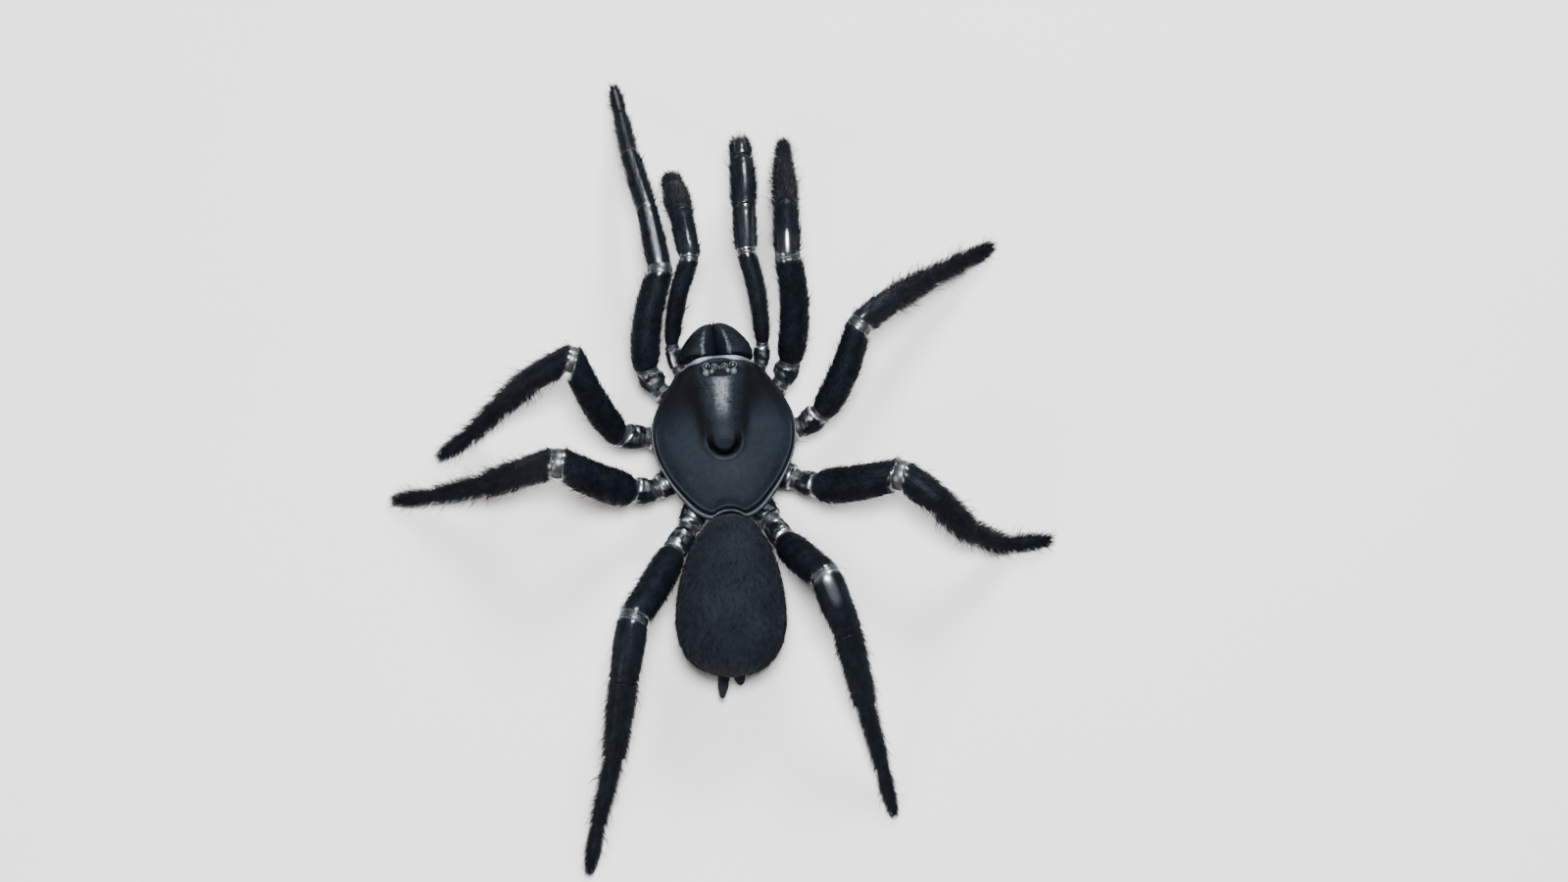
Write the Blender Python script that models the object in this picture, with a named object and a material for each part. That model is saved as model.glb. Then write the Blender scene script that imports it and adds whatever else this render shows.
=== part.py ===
"""Adult male trapdoor spider at life size, standing on its eight feet with its legs spread.

The head points to -Y, the spider's left is +X and the floor is Z = 0. Dimensions are millimetres
in a body frame whose origin lies under the middle of the carapace. At the end the whole animal is
shifted so that the middle of its outer box stands on the world origin. Each limb is drawn as a
chain of straight segments, run past its joints and parted there by the plane that halves the bend.
"""

import math

import bmesh
import bpy
from mathutils import Matrix, Vector

MM = 0.001
UP = Vector((0, 0, 1))
AHEAD = Vector((0, -1, 0))
GAP = 0.3
LIMB_SIDES = 12
FOOT_SIDES = 10
LEFT, RIGHT = 1, -1
SIDE_NAMES = {LEFT: "left", RIGHT: "right"}

# Carapace
OUTLINE_HALF = (
    (0.0, -4.18),
    (1.1, -4.09),
    (2.05, -3.65),
    (2.85, -2.65),
    (3.45, -1.6),
    (3.7, -0.6),
    (3.58, 0.6),
    (3.08, 1.8),
    (2.42, 2.9),
    (1.7, 3.72),
    (0.95, 4.1),
    (0.45, 4.0),
)
REAR_NOTCH = (0.0, 3.8)
CARAPACE_CENTRE = (0.0, 0.3)
CARAPACE_POINTS_PER_SPAN = 2
CARAPACE_RINGS = (1.0, 0.98, 0.955, 0.93, 0.89, 0.8, 0.7, 0.58, 0.45, 0.32, 0.2, 0.09)
CARAPACE_UNDERSIDE = 3.0
MARGIN_HEIGHT = 3.32
FRONT_MARGIN_LIFT = 1.1
FRONT_LIFT_START_Y = -1.8
FRONT_LIFT_LENGTH = 2.2
THORAX_RISE = 0.95
THORAX_FULLNESS = 2.8
CAPUT_RISE = 1.0
CAPUT_FRONT_Y = -3.6
CAPUT_REAR_Y = 0.75
CAPUT_FRONT_HALF_WIDTH = 1.95
CAPUT_REAR_HALF_WIDTH = 0.72
CAPUT_ARCH_POWER = 0.8
CAPUT_REAR_SHARE = 0.45
CAPUT_FULL_AT = 0.625
CAPUT_REAR_STEP = 0.07
CAPUT_MARGIN_POWER = 6
RIM_RISE = 0.1
RIM_INNER_SHARE = 0.92
RIM_INNER_WIDTH = 0.035
RIM_OUTER_SHARE = 0.985
RIM_OUTER_WIDTH = 0.015
FOVEA_HALF_WIDTH = 0.72
FOVEA_DEPTH = 0.75
FOVEA_FRONT_Y = 0.15
FOVEA_HEIGHT = 4.45
FOVEA_GROOVE_RADIUS = 0.16
FOVEA_HEIGHT_SHARE = 1.6
FOVEA_END_SHARE = 0.45
FOVEA_STEPS = 10
EYE_RADIUS = 0.17
EYE_SEGMENTS = (10, 7)
EYES = ((0.21, -3.7), (0.74, -3.8), (0.38, -3.38), (0.78, -3.4))

# Underside of the prosoma
STERNUM_HALF = (
    (0.0, -3.05),
    (0.33, -2.9),
    (0.4, -2.3),
    (0.75, -2.0),
    (1.25, -1.1),
    (1.35, 0.2),
    (1.05, 1.6),
    (0.5, 2.7),
)
STERNUM_REAR = (0.0, 3.0)
STERNUM_TOP = 2.7
STERNUM_BOTTOM = 1.2
STERNUM_BEVEL = 0.3
STERNUM_KEEL_SHARE = 0.7

# Chelicerae and fangs: distance ahead of the origin, outer edge, height of the middle, half height
CHELICERA_STATIONS = (
    (3.7, 1.95, 3.2, 1.15),
    (4.3, 1.95, 3.3, 1.22),
    (4.75, 1.85, 3.3, 1.2),
    (5.2, 1.6, 3.2, 1.1),
    (5.6, 1.28, 3.05, 0.95),
    (5.88, 0.94, 2.9, 0.75),
    (6.07, 0.55, 2.8, 0.4),
)
CHELICERA_MIDDLE = 0.46
CHELICERA_SIDES = 16
CHELICERA_HINGE = (0.9, -4.48, 3.3)
CHELICERA_REAR = Vector((0, -4.5, 0))
CHELICERA_REAR_YAW = 11
FANG_POINTS = (
    (0.72, -5.45, 1.72),
    (0.72, -5.3, 1.42),
    (0.7, -4.85, 1.15),
    (0.62, -4.25, 1.12),
    (0.52, -3.75, 1.3),
)
FANG_RADII = (0.27, 0.28, 0.24, 0.16, 0.07)

# Abdomen and what joins it to the prosoma
ABDOMEN_FRONT = Vector((-0.1, 4.44, 3.6))
ABDOMEN_REAR = Vector((0.42, 12.3, 3.3))
ABDOMEN_HALF_WIDTH = 2.78
ABDOMEN_HEIGHT_SHARE = 0.84
ABDOMEN_PROFILE = (
    (0.0, 0.34),
    (0.02, 0.44),
    (0.07, 0.56),
    (0.15, 0.7),
    (0.28, 0.84),
    (0.42, 0.94),
    (0.56, 0.99),
    (0.68, 1.0),
    (0.79, 0.94),
    (0.88, 0.81),
    (0.95, 0.58),
    (0.985, 0.34),
    (1.0, 0.14),
)
ABDOMEN_SIDES = 28
PEDICEL_START = Vector((0, 3.32, 2.0))
PEDICEL_END = Vector((0, 4.45, 2.5))
PEDICEL_RADIUS = 0.36
SPINNERET_POINTS = {
    LEFT: ((0.38, 11.75, 1.42), (0.4, 12.0, 1.2), (0.46, 12.5, 1.28), (0.52, 12.95, 1.45)),
    RIGHT: ((0.38, 11.7, 1.42), (0.42, 11.9, 1.12), (0.46, 12.2, 0.95), (0.5, 12.5, 0.85)),
}
SPINNERET_RADII = (0.3, 0.3, 0.25, 0.13)

# Limbs. Per leg pair: segment lengths, the coxa's two ends, the femur's base, and widths
FEMUR, TARSUS = 0, 4
LEG_NODES = ("femur", "patella", "tibia", "foot")
PALP_NODES = ("femur", "patella", "tibia")
LEG_LENGTHS = {
    1: (5.6, 3.1, 3.9, 3.1, 2.0),
    2: (5.2, 2.6, 3.2, 2.8, 1.8),
    3: (4.8, 2.4, 2.6, 3.1, 2.1),
    4: (5.3, 3.1, 4.1, 3.5, 2.4),
}
# Three legs whose knee sits a little nearer to or farther from the body than on the other side
OWN_LENGTHS = {
    (1, LEFT): (5.2, 3.44, 3.9, 3.1, 2.0),
    (1, RIGHT): (6.1, 2.46, 3.9, 3.1, 2.0),
    (2, LEFT): (5.6, 2.66, 3.2, 2.8, 1.8),
}
LEG_WIDTHS = {
    1: (1.45, 1.3, 1.12, 0.88, 0.68),
    2: (1.42, 1.28, 1.15, 0.9, 0.66),
    3: (1.8, 1.48, 1.3, 0.95, 0.62),
    4: (1.6, 1.55, 1.4, 0.92, 0.68),
}
COXA_INNER = {1: (1.62, -1.75, 1.9), 2: (1.85, -0.45, 1.9), 3: (1.78, 1.0, 1.9), 4: (1.25, 2.35, 1.9)}
COXA_OUTER = {1: (3.2, -3.2, 2.0), 2: (4.05, -0.75, 2.0), 3: (3.75, 2.1, 2.0), 4: (2.2, 4.3, 2.0)}
FEMUR_BASE = {
    (1, LEFT): (3.8, -4.15, 2.5),
    (1, RIGHT): (3.65, -4.15, 2.5),
    (2, LEFT): (5.35, -0.75, 2.5),
    (2, RIGHT): (5.1, -1.3, 2.5),
    (3, LEFT): (4.95, 2.2, 2.5),
    (3, RIGHT): (4.65, 2.55, 2.5),
    (4, LEFT): (3.0, 5.6, 2.5),
    (4, RIGHT): (2.85, 5.45, 2.5),
}
COXA_INNER_WIDTH = 1.08
COXA_WIDTH = {1: 1.15, 2: 1.35, 3: 1.35, 4: 1.35}
COXA_HEIGHT = 1.35
COXA_FULL_FROM = 0.35
COXA_FULL_TO = 0.78
TROCHANTER_WIDTH = 1.28
TROCHANTER_FULL_FROM = 0.4
TROCHANTER_FULL_TO = 0.8
TROCHANTER_END_SHARE = 0.93
WAIST_SHARE = 0.82
RUN_ON_SHARE = 1.6
FEMUR_BOW = {1: 0.32, 2: 0.28, 3: 0.2, 4: 0.1}
FEMUR_ARCH = 0.18
SEGMENT_HEIGHT_SHARE = 1.06
SEGMENT_TAPER = 0.6
TIP_HEIGHT = 0.22
TIP_WIDTH = 0.56
TIP_OVERRUN_SHARE = 0.5
TIP_ROUNDING_SHARE = 0.55

# Each leg as it stands: (heading out from straight ahead, pitch up) for femur, patella, tibia and
# metatarsus, and the heading of the tarsus, whose pitch follows from the height of its tip
LEG_POSES = {
    (1, LEFT): ((-13, 20), (8.5, -0.4), (12, -24), (8, -31), 9),
    (1, RIGHT): ((2, 43), (2, 12.4), (2, -50), (2, -58), 3),
    (2, LEFT): ((31, 46), (107.5, -29.4), (109, -55), (118, -45), 121),
    (2, RIGHT): ((29, 35), (50, -26), (53, -36), (58, -30), 59),
    (3, LEFT): ((73, 41), (92, -40), (94, -37), (91, -29), 87),
    (3, RIGHT): ((92, 29), (130, -5), (131, -42), (99, -50), 85),
    (4, LEFT): ((151, 34), (167, -18), (168, -29), (161, -26), 165),
    (4, RIGHT): ((147, 53), (160, -29), (168, -33), (167, -32), 169),
}

# Palps, held off the floor
PALP_LENGTHS = (4.8, 2.5, 2.9, 1.1)
PALP_WIDTHS = (0.8, 1.1, 1.22, 1.0)
PALP_TIP_WIDTH = 0.74
PALP_BOW = 0.18
PALP_COXA_WIDTHS = (0.85, 0.92, 1.1, 0.84)
PALP_COXA_INNER = (0.98, -2.75, 1.75)
PALP_COXA_OUTER = (2.1, -4.0, 2.1)
PALP_FEMUR_BASE = {LEFT: (2.4, -5.35, 2.75), RIGHT: (2.3, -5.15, 2.7)}
PALP_POSES = {
    LEFT: ((-18, 33), (7, -12), (8, -41), (9, -46)),
    RIGHT: ((-7, 20), (1, -7), (1, -10), (-3, -19)),
}
BULB_RADIUS = 0.42
BULB_SEGMENTS = (12, 8)
BULB_DROP = 0.42
BULB_INWARD = 0.2
BULB_ALONG_SHARE = 0.3
EMBOLUS_LENGTH = 1.1
EMBOLUS_DROP = 0.25
EMBOLUS_RADII = (0.22, 0.17, 0.08)
EMBOLUS_SIDES = 8

# Share of a segment's length, and width there as a share of its full width
FEMUR_PROFILE = ((0.0, 0.84), (0.1, 0.93), (0.28, 1.0), (0.6, 1.0), (0.88, 0.98), (1.0, 0.94))
STRAIGHT_PROFILE = ((0.0, 0.96), (0.12, 1.02), (0.5, 1.03), (0.88, 1.0), (1.0, 0.94))
FOOT_PROFILE = ((0.5, 0.97), (0.85, 0.9))

FINISHES = {
    "carapace_cuticle": ((0.012, 0.013, 0.018), 0.32),
    "leg_cuticle": ((0.008, 0.008, 0.009), 0.25),
    "abdomen_velvet": ((0.018, 0.019, 0.024), 0.85),
    "fang_cuticle": ((0.02, 0.006, 0.004), 0.2),
    "ventral_cuticle": ((0.03, 0.025, 0.022), 0.45),
}


def finish(name):
    """The named finish, made the first time that it is asked for."""
    found = bpy.data.materials.get(name)
    if found:
        return found
    colour, roughness = FINISHES[name]
    made = bpy.data.materials.new(name)
    made.use_nodes = True
    shader = made.node_tree.nodes["Principled BSDF"]
    shader.inputs["Base Color"].default_value = (*colour, 1)
    shader.inputs["Roughness"].default_value = roughness
    shader.inputs["Metallic"].default_value = 0
    return made


def clear_scene():
    for thing in list(bpy.data.objects):
        bpy.data.objects.remove(thing, do_unlink=True)


def new_collection(name, helper=False):
    made = bpy.data.collections.new(name)
    made.hide_render = helper
    bpy.context.scene.collection.children.link(made)
    return made


def add_object(name, mesh, collection, pivot=(0, 0, 0), surface=None):
    """Turns a bmesh in millimetres into an object in metres, with its origin at pivot."""
    pivot = Vector(pivot)
    bmesh.ops.translate(mesh, verts=mesh.verts, vec=-pivot)
    bmesh.ops.scale(mesh, verts=mesh.verts, vec=(MM, MM, MM))
    bmesh.ops.recalc_face_normals(mesh, faces=mesh.faces)
    data = bpy.data.meshes.new(name)
    mesh.to_mesh(data)
    mesh.free()
    made = bpy.data.objects.new(name, data)
    made.location = pivot * MM
    collection.objects.link(made)
    if surface:
        data.materials.append(finish(surface))
        data.shade_smooth()
        data.set_sharp_from_angle(angle=math.radians(40))
    return made


def direction(side, heading, pitch):
    """Unit vector turned from straight ahead to its side by heading, and up by pitch."""
    heading = math.radians(heading)
    pitch = math.radians(pitch)
    level = math.cos(pitch)
    return Vector((side * math.sin(heading) * level, -math.cos(heading) * level, math.sin(pitch)))


def mirrored(point, side):
    return Vector((side * point[0], point[1], point[2]))


def ease(value):
    """Smooth step from 0 to 1."""
    value = min(max(value, 0.0), 1.0)
    return value * value * (3 - 2 * value)


def ring_frame(centre, along, half_width, half_height):
    """Matrix that sets a unit circle square to along, with its height as near upright as it goes."""
    along = along.normalized()
    across = UP.cross(along).normalized()
    upward = along.cross(across)
    turn = Matrix((across * half_width, upward * half_height, along)).transposed()
    return Matrix.Translation(centre) @ turn.to_4x4()


def only(kind, items):
    return [item for item in items if isinstance(item, kind)]


def grow_ring(mesh, edges):
    """Extrudes a ring of edges in place, and returns the new ring's edges and points."""
    grown = bmesh.ops.extrude_edge_only(mesh, edges=edges)["geom"]
    return only(bmesh.types.BMEdge, grown), only(bmesh.types.BMVert, grown)


def sweep(stations, sides=LIMB_SIDES):
    """Closed tube through stations of (centre, along, half width, half height)."""
    frames = [ring_frame(*station) for station in stations]
    mesh = bmesh.new()
    bmesh.ops.create_circle(mesh, cap_ends=True, segments=sides, radius=1.0)
    bmesh.ops.transform(mesh, matrix=frames[0], verts=mesh.verts)
    edges = mesh.edges[:]
    for before, frame in zip(frames, frames[1:]):
        edges, ring = grow_ring(mesh, edges)
        bmesh.ops.transform(mesh, matrix=frame @ before.inverted(), verts=ring)
    bmesh.ops.edgeloop_fill(mesh, edges=edges)
    return mesh


def sweep_path(points, radii, sides=LIMB_SIDES, height_share=1.0):
    """Closed tube along a bent path, each ring square to the path there."""
    points = [Vector(point) for point in points]
    stations = []
    for index, point in enumerate(points):
        behind = points[max(index - 1, 0)]
        ahead = points[min(index + 1, len(points) - 1)]
        stations.append((point, ahead - behind, radii[index], radii[index] * height_share))
    return sweep(stations, sides)


def cut(mesh, point, normal):
    """Takes off what lies past the plane, on the side normal points to, and closes the cut."""
    everything = mesh.verts[:] + mesh.edges[:] + mesh.faces[:]
    made = bmesh.ops.bisect_plane(
        mesh, geom=everything, plane_co=point, plane_no=normal, clear_outer=True
    )
    bmesh.ops.edgeloop_fill(mesh, edges=only(bmesh.types.BMEdge, made["geom_cut"]))


def cut_at_joint(mesh, joint, inward, outward, keep_inner):
    """Parts a limb at a joint by the plane that halves the bend, half the gap back from it."""
    normal = (inward.normalized() + outward.normalized()).normalized()
    if not keep_inner:
        normal = -normal
    cut(mesh, joint - normal * GAP / 2, normal)


def fuse(target, extras, operation="UNION"):
    """Joins extras to target, or cuts them from it, with a Boolean on a collection."""
    helpers = new_collection(target.name + "_cutters", helper=True)
    for extra in extras:
        extra.display_type = "WIRE"
        extra.hide_render = True
        helpers.objects.link(extra)
        for holder in list(extra.users_collection):
            if holder != helpers:
                holder.objects.unlink(extra)
    modifier = target.modifiers.new("fuse", "BOOLEAN")
    modifier.operation = operation
    modifier.operand_type = "COLLECTION"
    modifier.collection = helpers
    modifier.solver = "EXACT"
    graph = bpy.context.evaluated_depsgraph_get()
    fused = bpy.data.meshes.new_from_object(target.evaluated_get(graph))
    target.modifiers.clear()
    target.data = fused
    for extra in extras:
        bpy.data.objects.remove(extra, do_unlink=True)
    bpy.data.collections.remove(helpers)


def ball(centre, radius, segments):
    around, up = segments
    mesh = bmesh.new()
    bmesh.ops.create_uvsphere(mesh, u_segments=around, v_segments=up, radius=radius)
    bmesh.ops.translate(mesh, verts=mesh.verts, vec=centre)
    return mesh


def smooth_loop(points, per_span):
    """Points along the closed Catmull-Rom curve through the given ones."""
    count = len(points)
    loop = []
    for index in range(count):
        a, b, c, d = (Vector(points[(index + shift) % count]) for shift in (-1, 0, 1, 2))
        for step in range(per_span):
            t = step / per_span
            loop.append(
                0.5
                * (
                    2 * b
                    + (c - a) * t
                    + (2 * a - 5 * b + 4 * c - d) * t**2
                    + (3 * b - a - 3 * c + d) * t**3
                )
            )
    return loop


def symmetric_loop(half, closing=None):
    """A closed outline from its half at X >= 0, front to rear, and an optional last point on the axis."""
    end = [closing] if closing else []
    other = [(-x, y) for x, y in reversed(half[1:])]
    return [tuple(point) for point in half] + end + other


def carapace_height(x, y, share):
    """Height of the carapace's upper surface at a share of the way from its centre to its margin.

    The thorax is a low dome, the caput an arched ridge that narrows and sinks to the rear.
    """
    margin = MARGIN_HEIGHT + FRONT_MARGIN_LIFT * ease((FRONT_LIFT_START_Y - y) / FRONT_LIFT_LENGTH)
    thorax = THORAX_RISE * (1 - share**THORAX_FULLNESS)
    forward = min(max((CAPUT_REAR_Y - y) / (CAPUT_REAR_Y - CAPUT_FRONT_Y), 0.0), 1.0)
    half_width = CAPUT_REAR_HALF_WIDTH + forward * (CAPUT_FRONT_HALF_WIDTH - CAPUT_REAR_HALF_WIDTH)
    arch = max(1 - (x / half_width) ** 2, 0.0) ** CAPUT_ARCH_POWER
    along = CAPUT_REAR_SHARE + (1 - CAPUT_REAR_SHARE) * ease(forward / CAPUT_FULL_AT)
    along *= ease(forward / CAPUT_REAR_STEP) * (1 - share**CAPUT_MARGIN_POWER)
    rim = ease((share - RIM_INNER_SHARE) / RIM_INNER_WIDTH)
    rim -= ease((share - RIM_OUTER_SHARE) / RIM_OUTER_WIDTH)
    return margin + thorax + CAPUT_RISE * arch * along + RIM_RISE * rim


def stacked(outline, centre, levels):
    """Closed form on an outline: one ring for each (share, height), drawn in towards centre by share.

    A height is a number, or a function of X, Y and the share.
    """
    centre = Vector(centre)
    mesh = bmesh.new()
    bmesh.ops.create_circle(mesh, cap_ends=True, segments=len(outline), radius=1.0)
    edges = mesh.edges[:]
    ring = mesh.verts[:]
    for vertex, point in zip(ring, outline):
        vertex.co = (point[0], point[1], 0)
    before = 1.0
    for index, (share, height) in enumerate(levels):
        if index:
            edges, ring = grow_ring(mesh, edges)
        for vertex in ring:
            place = centre + (vertex.co.xy - centre) * share / before
            level = height(place.x, place.y, share) if callable(height) else height
            vertex.co = (place.x, place.y, level)
        before = share
    lid = bmesh.ops.edgeloop_fill(mesh, edges=edges)["faces"]
    bmesh.ops.poke(mesh, faces=lid)
    return mesh


def build_carapace(collection):
    outline = smooth_loop(symmetric_loop(OUTLINE_HALF, REAR_NOTCH), CARAPACE_POINTS_PER_SPAN)
    levels = [(1.0, CARAPACE_UNDERSIDE)]
    levels += [(share, carapace_height) for share in CARAPACE_RINGS]
    carapace = add_object(
        "carapace",
        stacked(outline, CARAPACE_CENTRE, levels),
        collection,
        surface="carapace_cuticle",
    )
    fuse(carapace, [fovea_cutter(collection)], "DIFFERENCE")
    fuse(carapace, eye_domes(collection))
    return carapace


def surface_share(x, y):
    """How far a place lies from the carapace's centre to its margin, on the front half's oval."""
    across = x / max(point[0] for point in OUTLINE_HALF)
    along = (y - CARAPACE_CENTRE[1]) / (OUTLINE_HALF[0][1] - CARAPACE_CENTRE[1])
    return min(math.hypot(across, along), 1.0)


def fovea_cutter(collection):
    """The U-shaped groove behind the caput, open to the front."""
    points = []
    radii = []
    for step in range(FOVEA_STEPS + 1):
        turn = math.pi * step / FOVEA_STEPS
        rearward = math.sin(turn)
        points.append(
            (FOVEA_HALF_WIDTH * math.cos(turn), FOVEA_FRONT_Y + FOVEA_DEPTH * rearward, FOVEA_HEIGHT)
        )
        radii.append(FOVEA_GROOVE_RADIUS * (FOVEA_END_SHARE + (1 - FOVEA_END_SHARE) * rearward))
    return add_object("fovea", sweep_path(points, radii, FOOT_SIDES, FOVEA_HEIGHT_SHARE), collection)


def eye_domes(collection):
    domes = []
    for x, y in EYES:
        for side in SIDE_NAMES:
            height = carapace_height(x, y, surface_share(x, y))
            centre = (side * x, y, height)
            domes.append(add_object("eye", ball(centre, EYE_RADIUS, EYE_SEGMENTS), collection))
    return domes


def build_sternum(collection):
    outline = smooth_loop(symmetric_loop(STERNUM_HALF, STERNUM_REAR), 2)
    levels = [
        (STERNUM_KEEL_SHARE, STERNUM_BOTTOM),
        (1.0, STERNUM_BOTTOM + STERNUM_BEVEL),
        (1.0, STERNUM_TOP),
    ]
    add_object("sternum", stacked(outline, (0, 0), levels), collection, surface="ventral_cuticle")


def build_chelicera(side, collection):
    """One chelicera, cut flat on the midline and square to the front of the carapace."""
    stations = []
    for ahead, outer, height, half_height in CHELICERA_STATIONS:
        centre = Vector((side * outer * CHELICERA_MIDDLE, -ahead, height))
        stations.append((centre, AHEAD, outer * (1 - CHELICERA_MIDDLE), half_height))
    mesh = sweep(stations, CHELICERA_SIDES)
    cut(mesh, (side * GAP / 2, 0, 0), (-side, 0, 0))
    cut(mesh, CHELICERA_REAR, -direction(side, -CHELICERA_REAR_YAW, 0))
    name = "chelicera_" + SIDE_NAMES[side]
    add_object(name, mesh, collection, mirrored(CHELICERA_HINGE, side), "leg_cuticle")


def build_fang(side, collection):
    points = [mirrored(point, side) for point in FANG_POINTS]
    mesh = sweep_path(points, FANG_RADII, FOOT_SIDES)
    add_object("fang_" + SIDE_NAMES[side], mesh, collection, points[0], "fang_cuticle")


def build_abdomen(collection):
    """The egg-shaped abdomen and the short stalk that carries it."""
    axis = ABDOMEN_REAR - ABDOMEN_FRONT
    stations = []
    for share, width in ABDOMEN_PROFILE:
        half_width = ABDOMEN_HALF_WIDTH * width
        centre = ABDOMEN_FRONT + axis * share
        stations.append((centre, axis, half_width, half_width * ABDOMEN_HEIGHT_SHARE))
    abdomen = sweep(stations, ABDOMEN_SIDES)
    stalk = PEDICEL_END - PEDICEL_START
    cut_at_joint(abdomen, PEDICEL_END, stalk, stalk, keep_inner=False)
    add_object("abdomen", abdomen, collection, ABDOMEN_FRONT, "abdomen_velvet")
    past = PEDICEL_END + stalk.normalized()
    pedicel = sweep_path((PEDICEL_START, PEDICEL_END, past), (PEDICEL_RADIUS,) * 3, FOOT_SIDES)
    cut_at_joint(pedicel, PEDICEL_END, stalk, stalk, keep_inner=True)
    add_object("pedicel", pedicel, collection, PEDICEL_START, "ventral_cuticle")


def build_spinneret(side, collection):
    middle = ABDOMEN_REAR.x
    points = [(middle + side * x, y, z) for x, y, z in SPINNERET_POINTS[side]]
    mesh = sweep_path(points, SPINNERET_RADII, FOOT_SIDES)
    add_object("spinneret_" + SIDE_NAMES[side], mesh, collection, points[0], "abdomen_velvet")


def segment_stations(start, end, width, next_width, profile, bow):
    """Rings along one straight segment, bowed sideways by bow at its middle and tapered a little."""
    stations = []
    along = end - start
    for share, fullness in profile:
        centre = start + along * share + bow * math.sin(math.pi * share)
        half = fullness * (width + (next_width - width) * SEGMENT_TAPER * ease(share)) / 2
        stations.append((centre, along, half, half * SEGMENT_HEIGHT_SHARE))
    return stations


def run_on(stations, at_end):
    """The end ring again, a little past the joint, so that a slanted cut still meets a full ring."""
    centre, along, half_width, half_height = stations[-1] if at_end else stations[0]
    step = along.normalized() * half_width * RUN_ON_SHARE
    return (centre + (step if at_end else -step), along, half_width, half_height)


def build_coxa(name, inner, outer, base, femur_way, widths, collection):
    """Coxa and trochanter: out from the sternum, in at the joint between them, and on to the femur."""
    coxa_way = outer - inner
    trochanter_way = base - outer
    waist_way = coxa_way.normalized() + trochanter_way.normalized()
    inner_half, coxa_half, coxa_height, trochanter_half = (width / 2 for width in widths)
    end_half = trochanter_half * TROCHANTER_END_SHARE
    stations = [
        (inner, coxa_way, inner_half, coxa_height),
        (inner.lerp(outer, COXA_FULL_FROM), coxa_way, coxa_half, coxa_height),
        (inner.lerp(outer, COXA_FULL_TO), coxa_way, coxa_half, coxa_height),
        (outer, waist_way, coxa_half * WAIST_SHARE, coxa_height * WAIST_SHARE),
        (outer.lerp(base, TROCHANTER_FULL_FROM), trochanter_way, trochanter_half, trochanter_half),
        (outer.lerp(base, TROCHANTER_FULL_TO), trochanter_way, trochanter_half, trochanter_half),
        (base, trochanter_way, end_half, end_half),
    ]
    mesh = sweep(stations + [run_on(stations, at_end=True)])
    cut_at_joint(mesh, base, trochanter_way, femur_way, keep_inner=True)
    add_object(name + "_coxa", mesh, collection, inner, "leg_cuticle")


def build_limb(name, names, coxa, base, ways, lengths, widths, tip_width, bow, collection):
    """Every segment from the femur out, one node each, with the last two segments in one node.

    coxa is the way that the trochanter points, which the femur's root is parted from.
    """
    joints = [base]
    for way, length in zip(ways, lengths):
        joints.append(joints[-1] + way * length)
    before = coxa
    for index, part in enumerate(names):
        last = index == len(names) - 1
        profile = FEMUR_PROFILE if index == FEMUR else STRAIGHT_PROFILE
        arch = bow if index == FEMUR else Vector()
        stations = segment_stations(
            joints[index], joints[index + 1], widths[index], widths[index + 1], profile, arch
        )
        stations.insert(0, run_on(stations, at_end=False))
        if last:
            stations = stations[:-1] + end_stations(
                joints[-2], joints[-1], ways[-2] + ways[-1], widths[-1], tip_width
            )
        else:
            stations.append(run_on(stations, at_end=True))
        mesh = sweep(stations, FOOT_SIDES if last else LIMB_SIDES)
        cut_at_joint(mesh, joints[index], before, ways[index], keep_inner=False)
        if last:
            cut(mesh, (0, 0, 0), (0, 0, -1))
        else:
            cut_at_joint(mesh, joints[index + 1], ways[index], ways[index + 1], keep_inner=True)
        made = add_object(f"{name}_{part}", mesh, collection, joints[index], "leg_cuticle")
        before = ways[index]
    return made, joints


def end_stations(start, end, bend, width, tip_width):
    """Rings of a limb's last segment, from the bend before it to its blunt tip."""
    along = end - start
    half = width / 2
    tip_half = tip_width / 2
    blunt_half = tip_half * TIP_ROUNDING_SHARE
    past = end + along.normalized() * tip_half * TIP_OVERRUN_SHARE
    stations = [(start, bend, half, half)]
    for share, fullness in FOOT_PROFILE:
        stations.append((start.lerp(end, share), along, half * fullness, half * fullness))
    return stations + [(end, along, tip_half, tip_half), (past, along, blunt_half, blunt_half)]


def femur_bow(side, turn, amount):
    """How far a femur's middle lies off its straight line: towards the rear side, and up."""
    heading, _ = turn
    return direction(side, heading + 90, 0) * amount + UP * FEMUR_ARCH


def build_leg(number, side, collection):
    name = f"leg_{number}_{SIDE_NAMES[side]}"
    inner = mirrored(COXA_INNER[number], side)
    outer = mirrored(COXA_OUTER[number], side)
    base = mirrored(FEMUR_BASE[number, side], side)
    lengths = OWN_LENGTHS.get((number, side), LEG_LENGTHS[number])
    *turns, tarsus_heading = LEG_POSES[number, side]
    ways = [direction(side, heading, pitch) for heading, pitch in turns]
    height = base.z + sum(way.z * length for way, length in zip(ways, lengths))
    tarsus_pitch = -math.degrees(math.asin((height - TIP_HEIGHT) / lengths[TARSUS]))
    ways.append(direction(side, tarsus_heading, tarsus_pitch))
    coxa_widths = (COXA_INNER_WIDTH, COXA_WIDTH[number], COXA_HEIGHT, TROCHANTER_WIDTH)
    build_coxa(name, inner, outer, base, ways[FEMUR], coxa_widths, collection)
    bow = femur_bow(side, turns[FEMUR], FEMUR_BOW[number])
    build_limb(
        name, LEG_NODES, base - outer, base, ways, lengths, LEG_WIDTHS[number], TIP_WIDTH, bow, collection
    )


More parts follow.
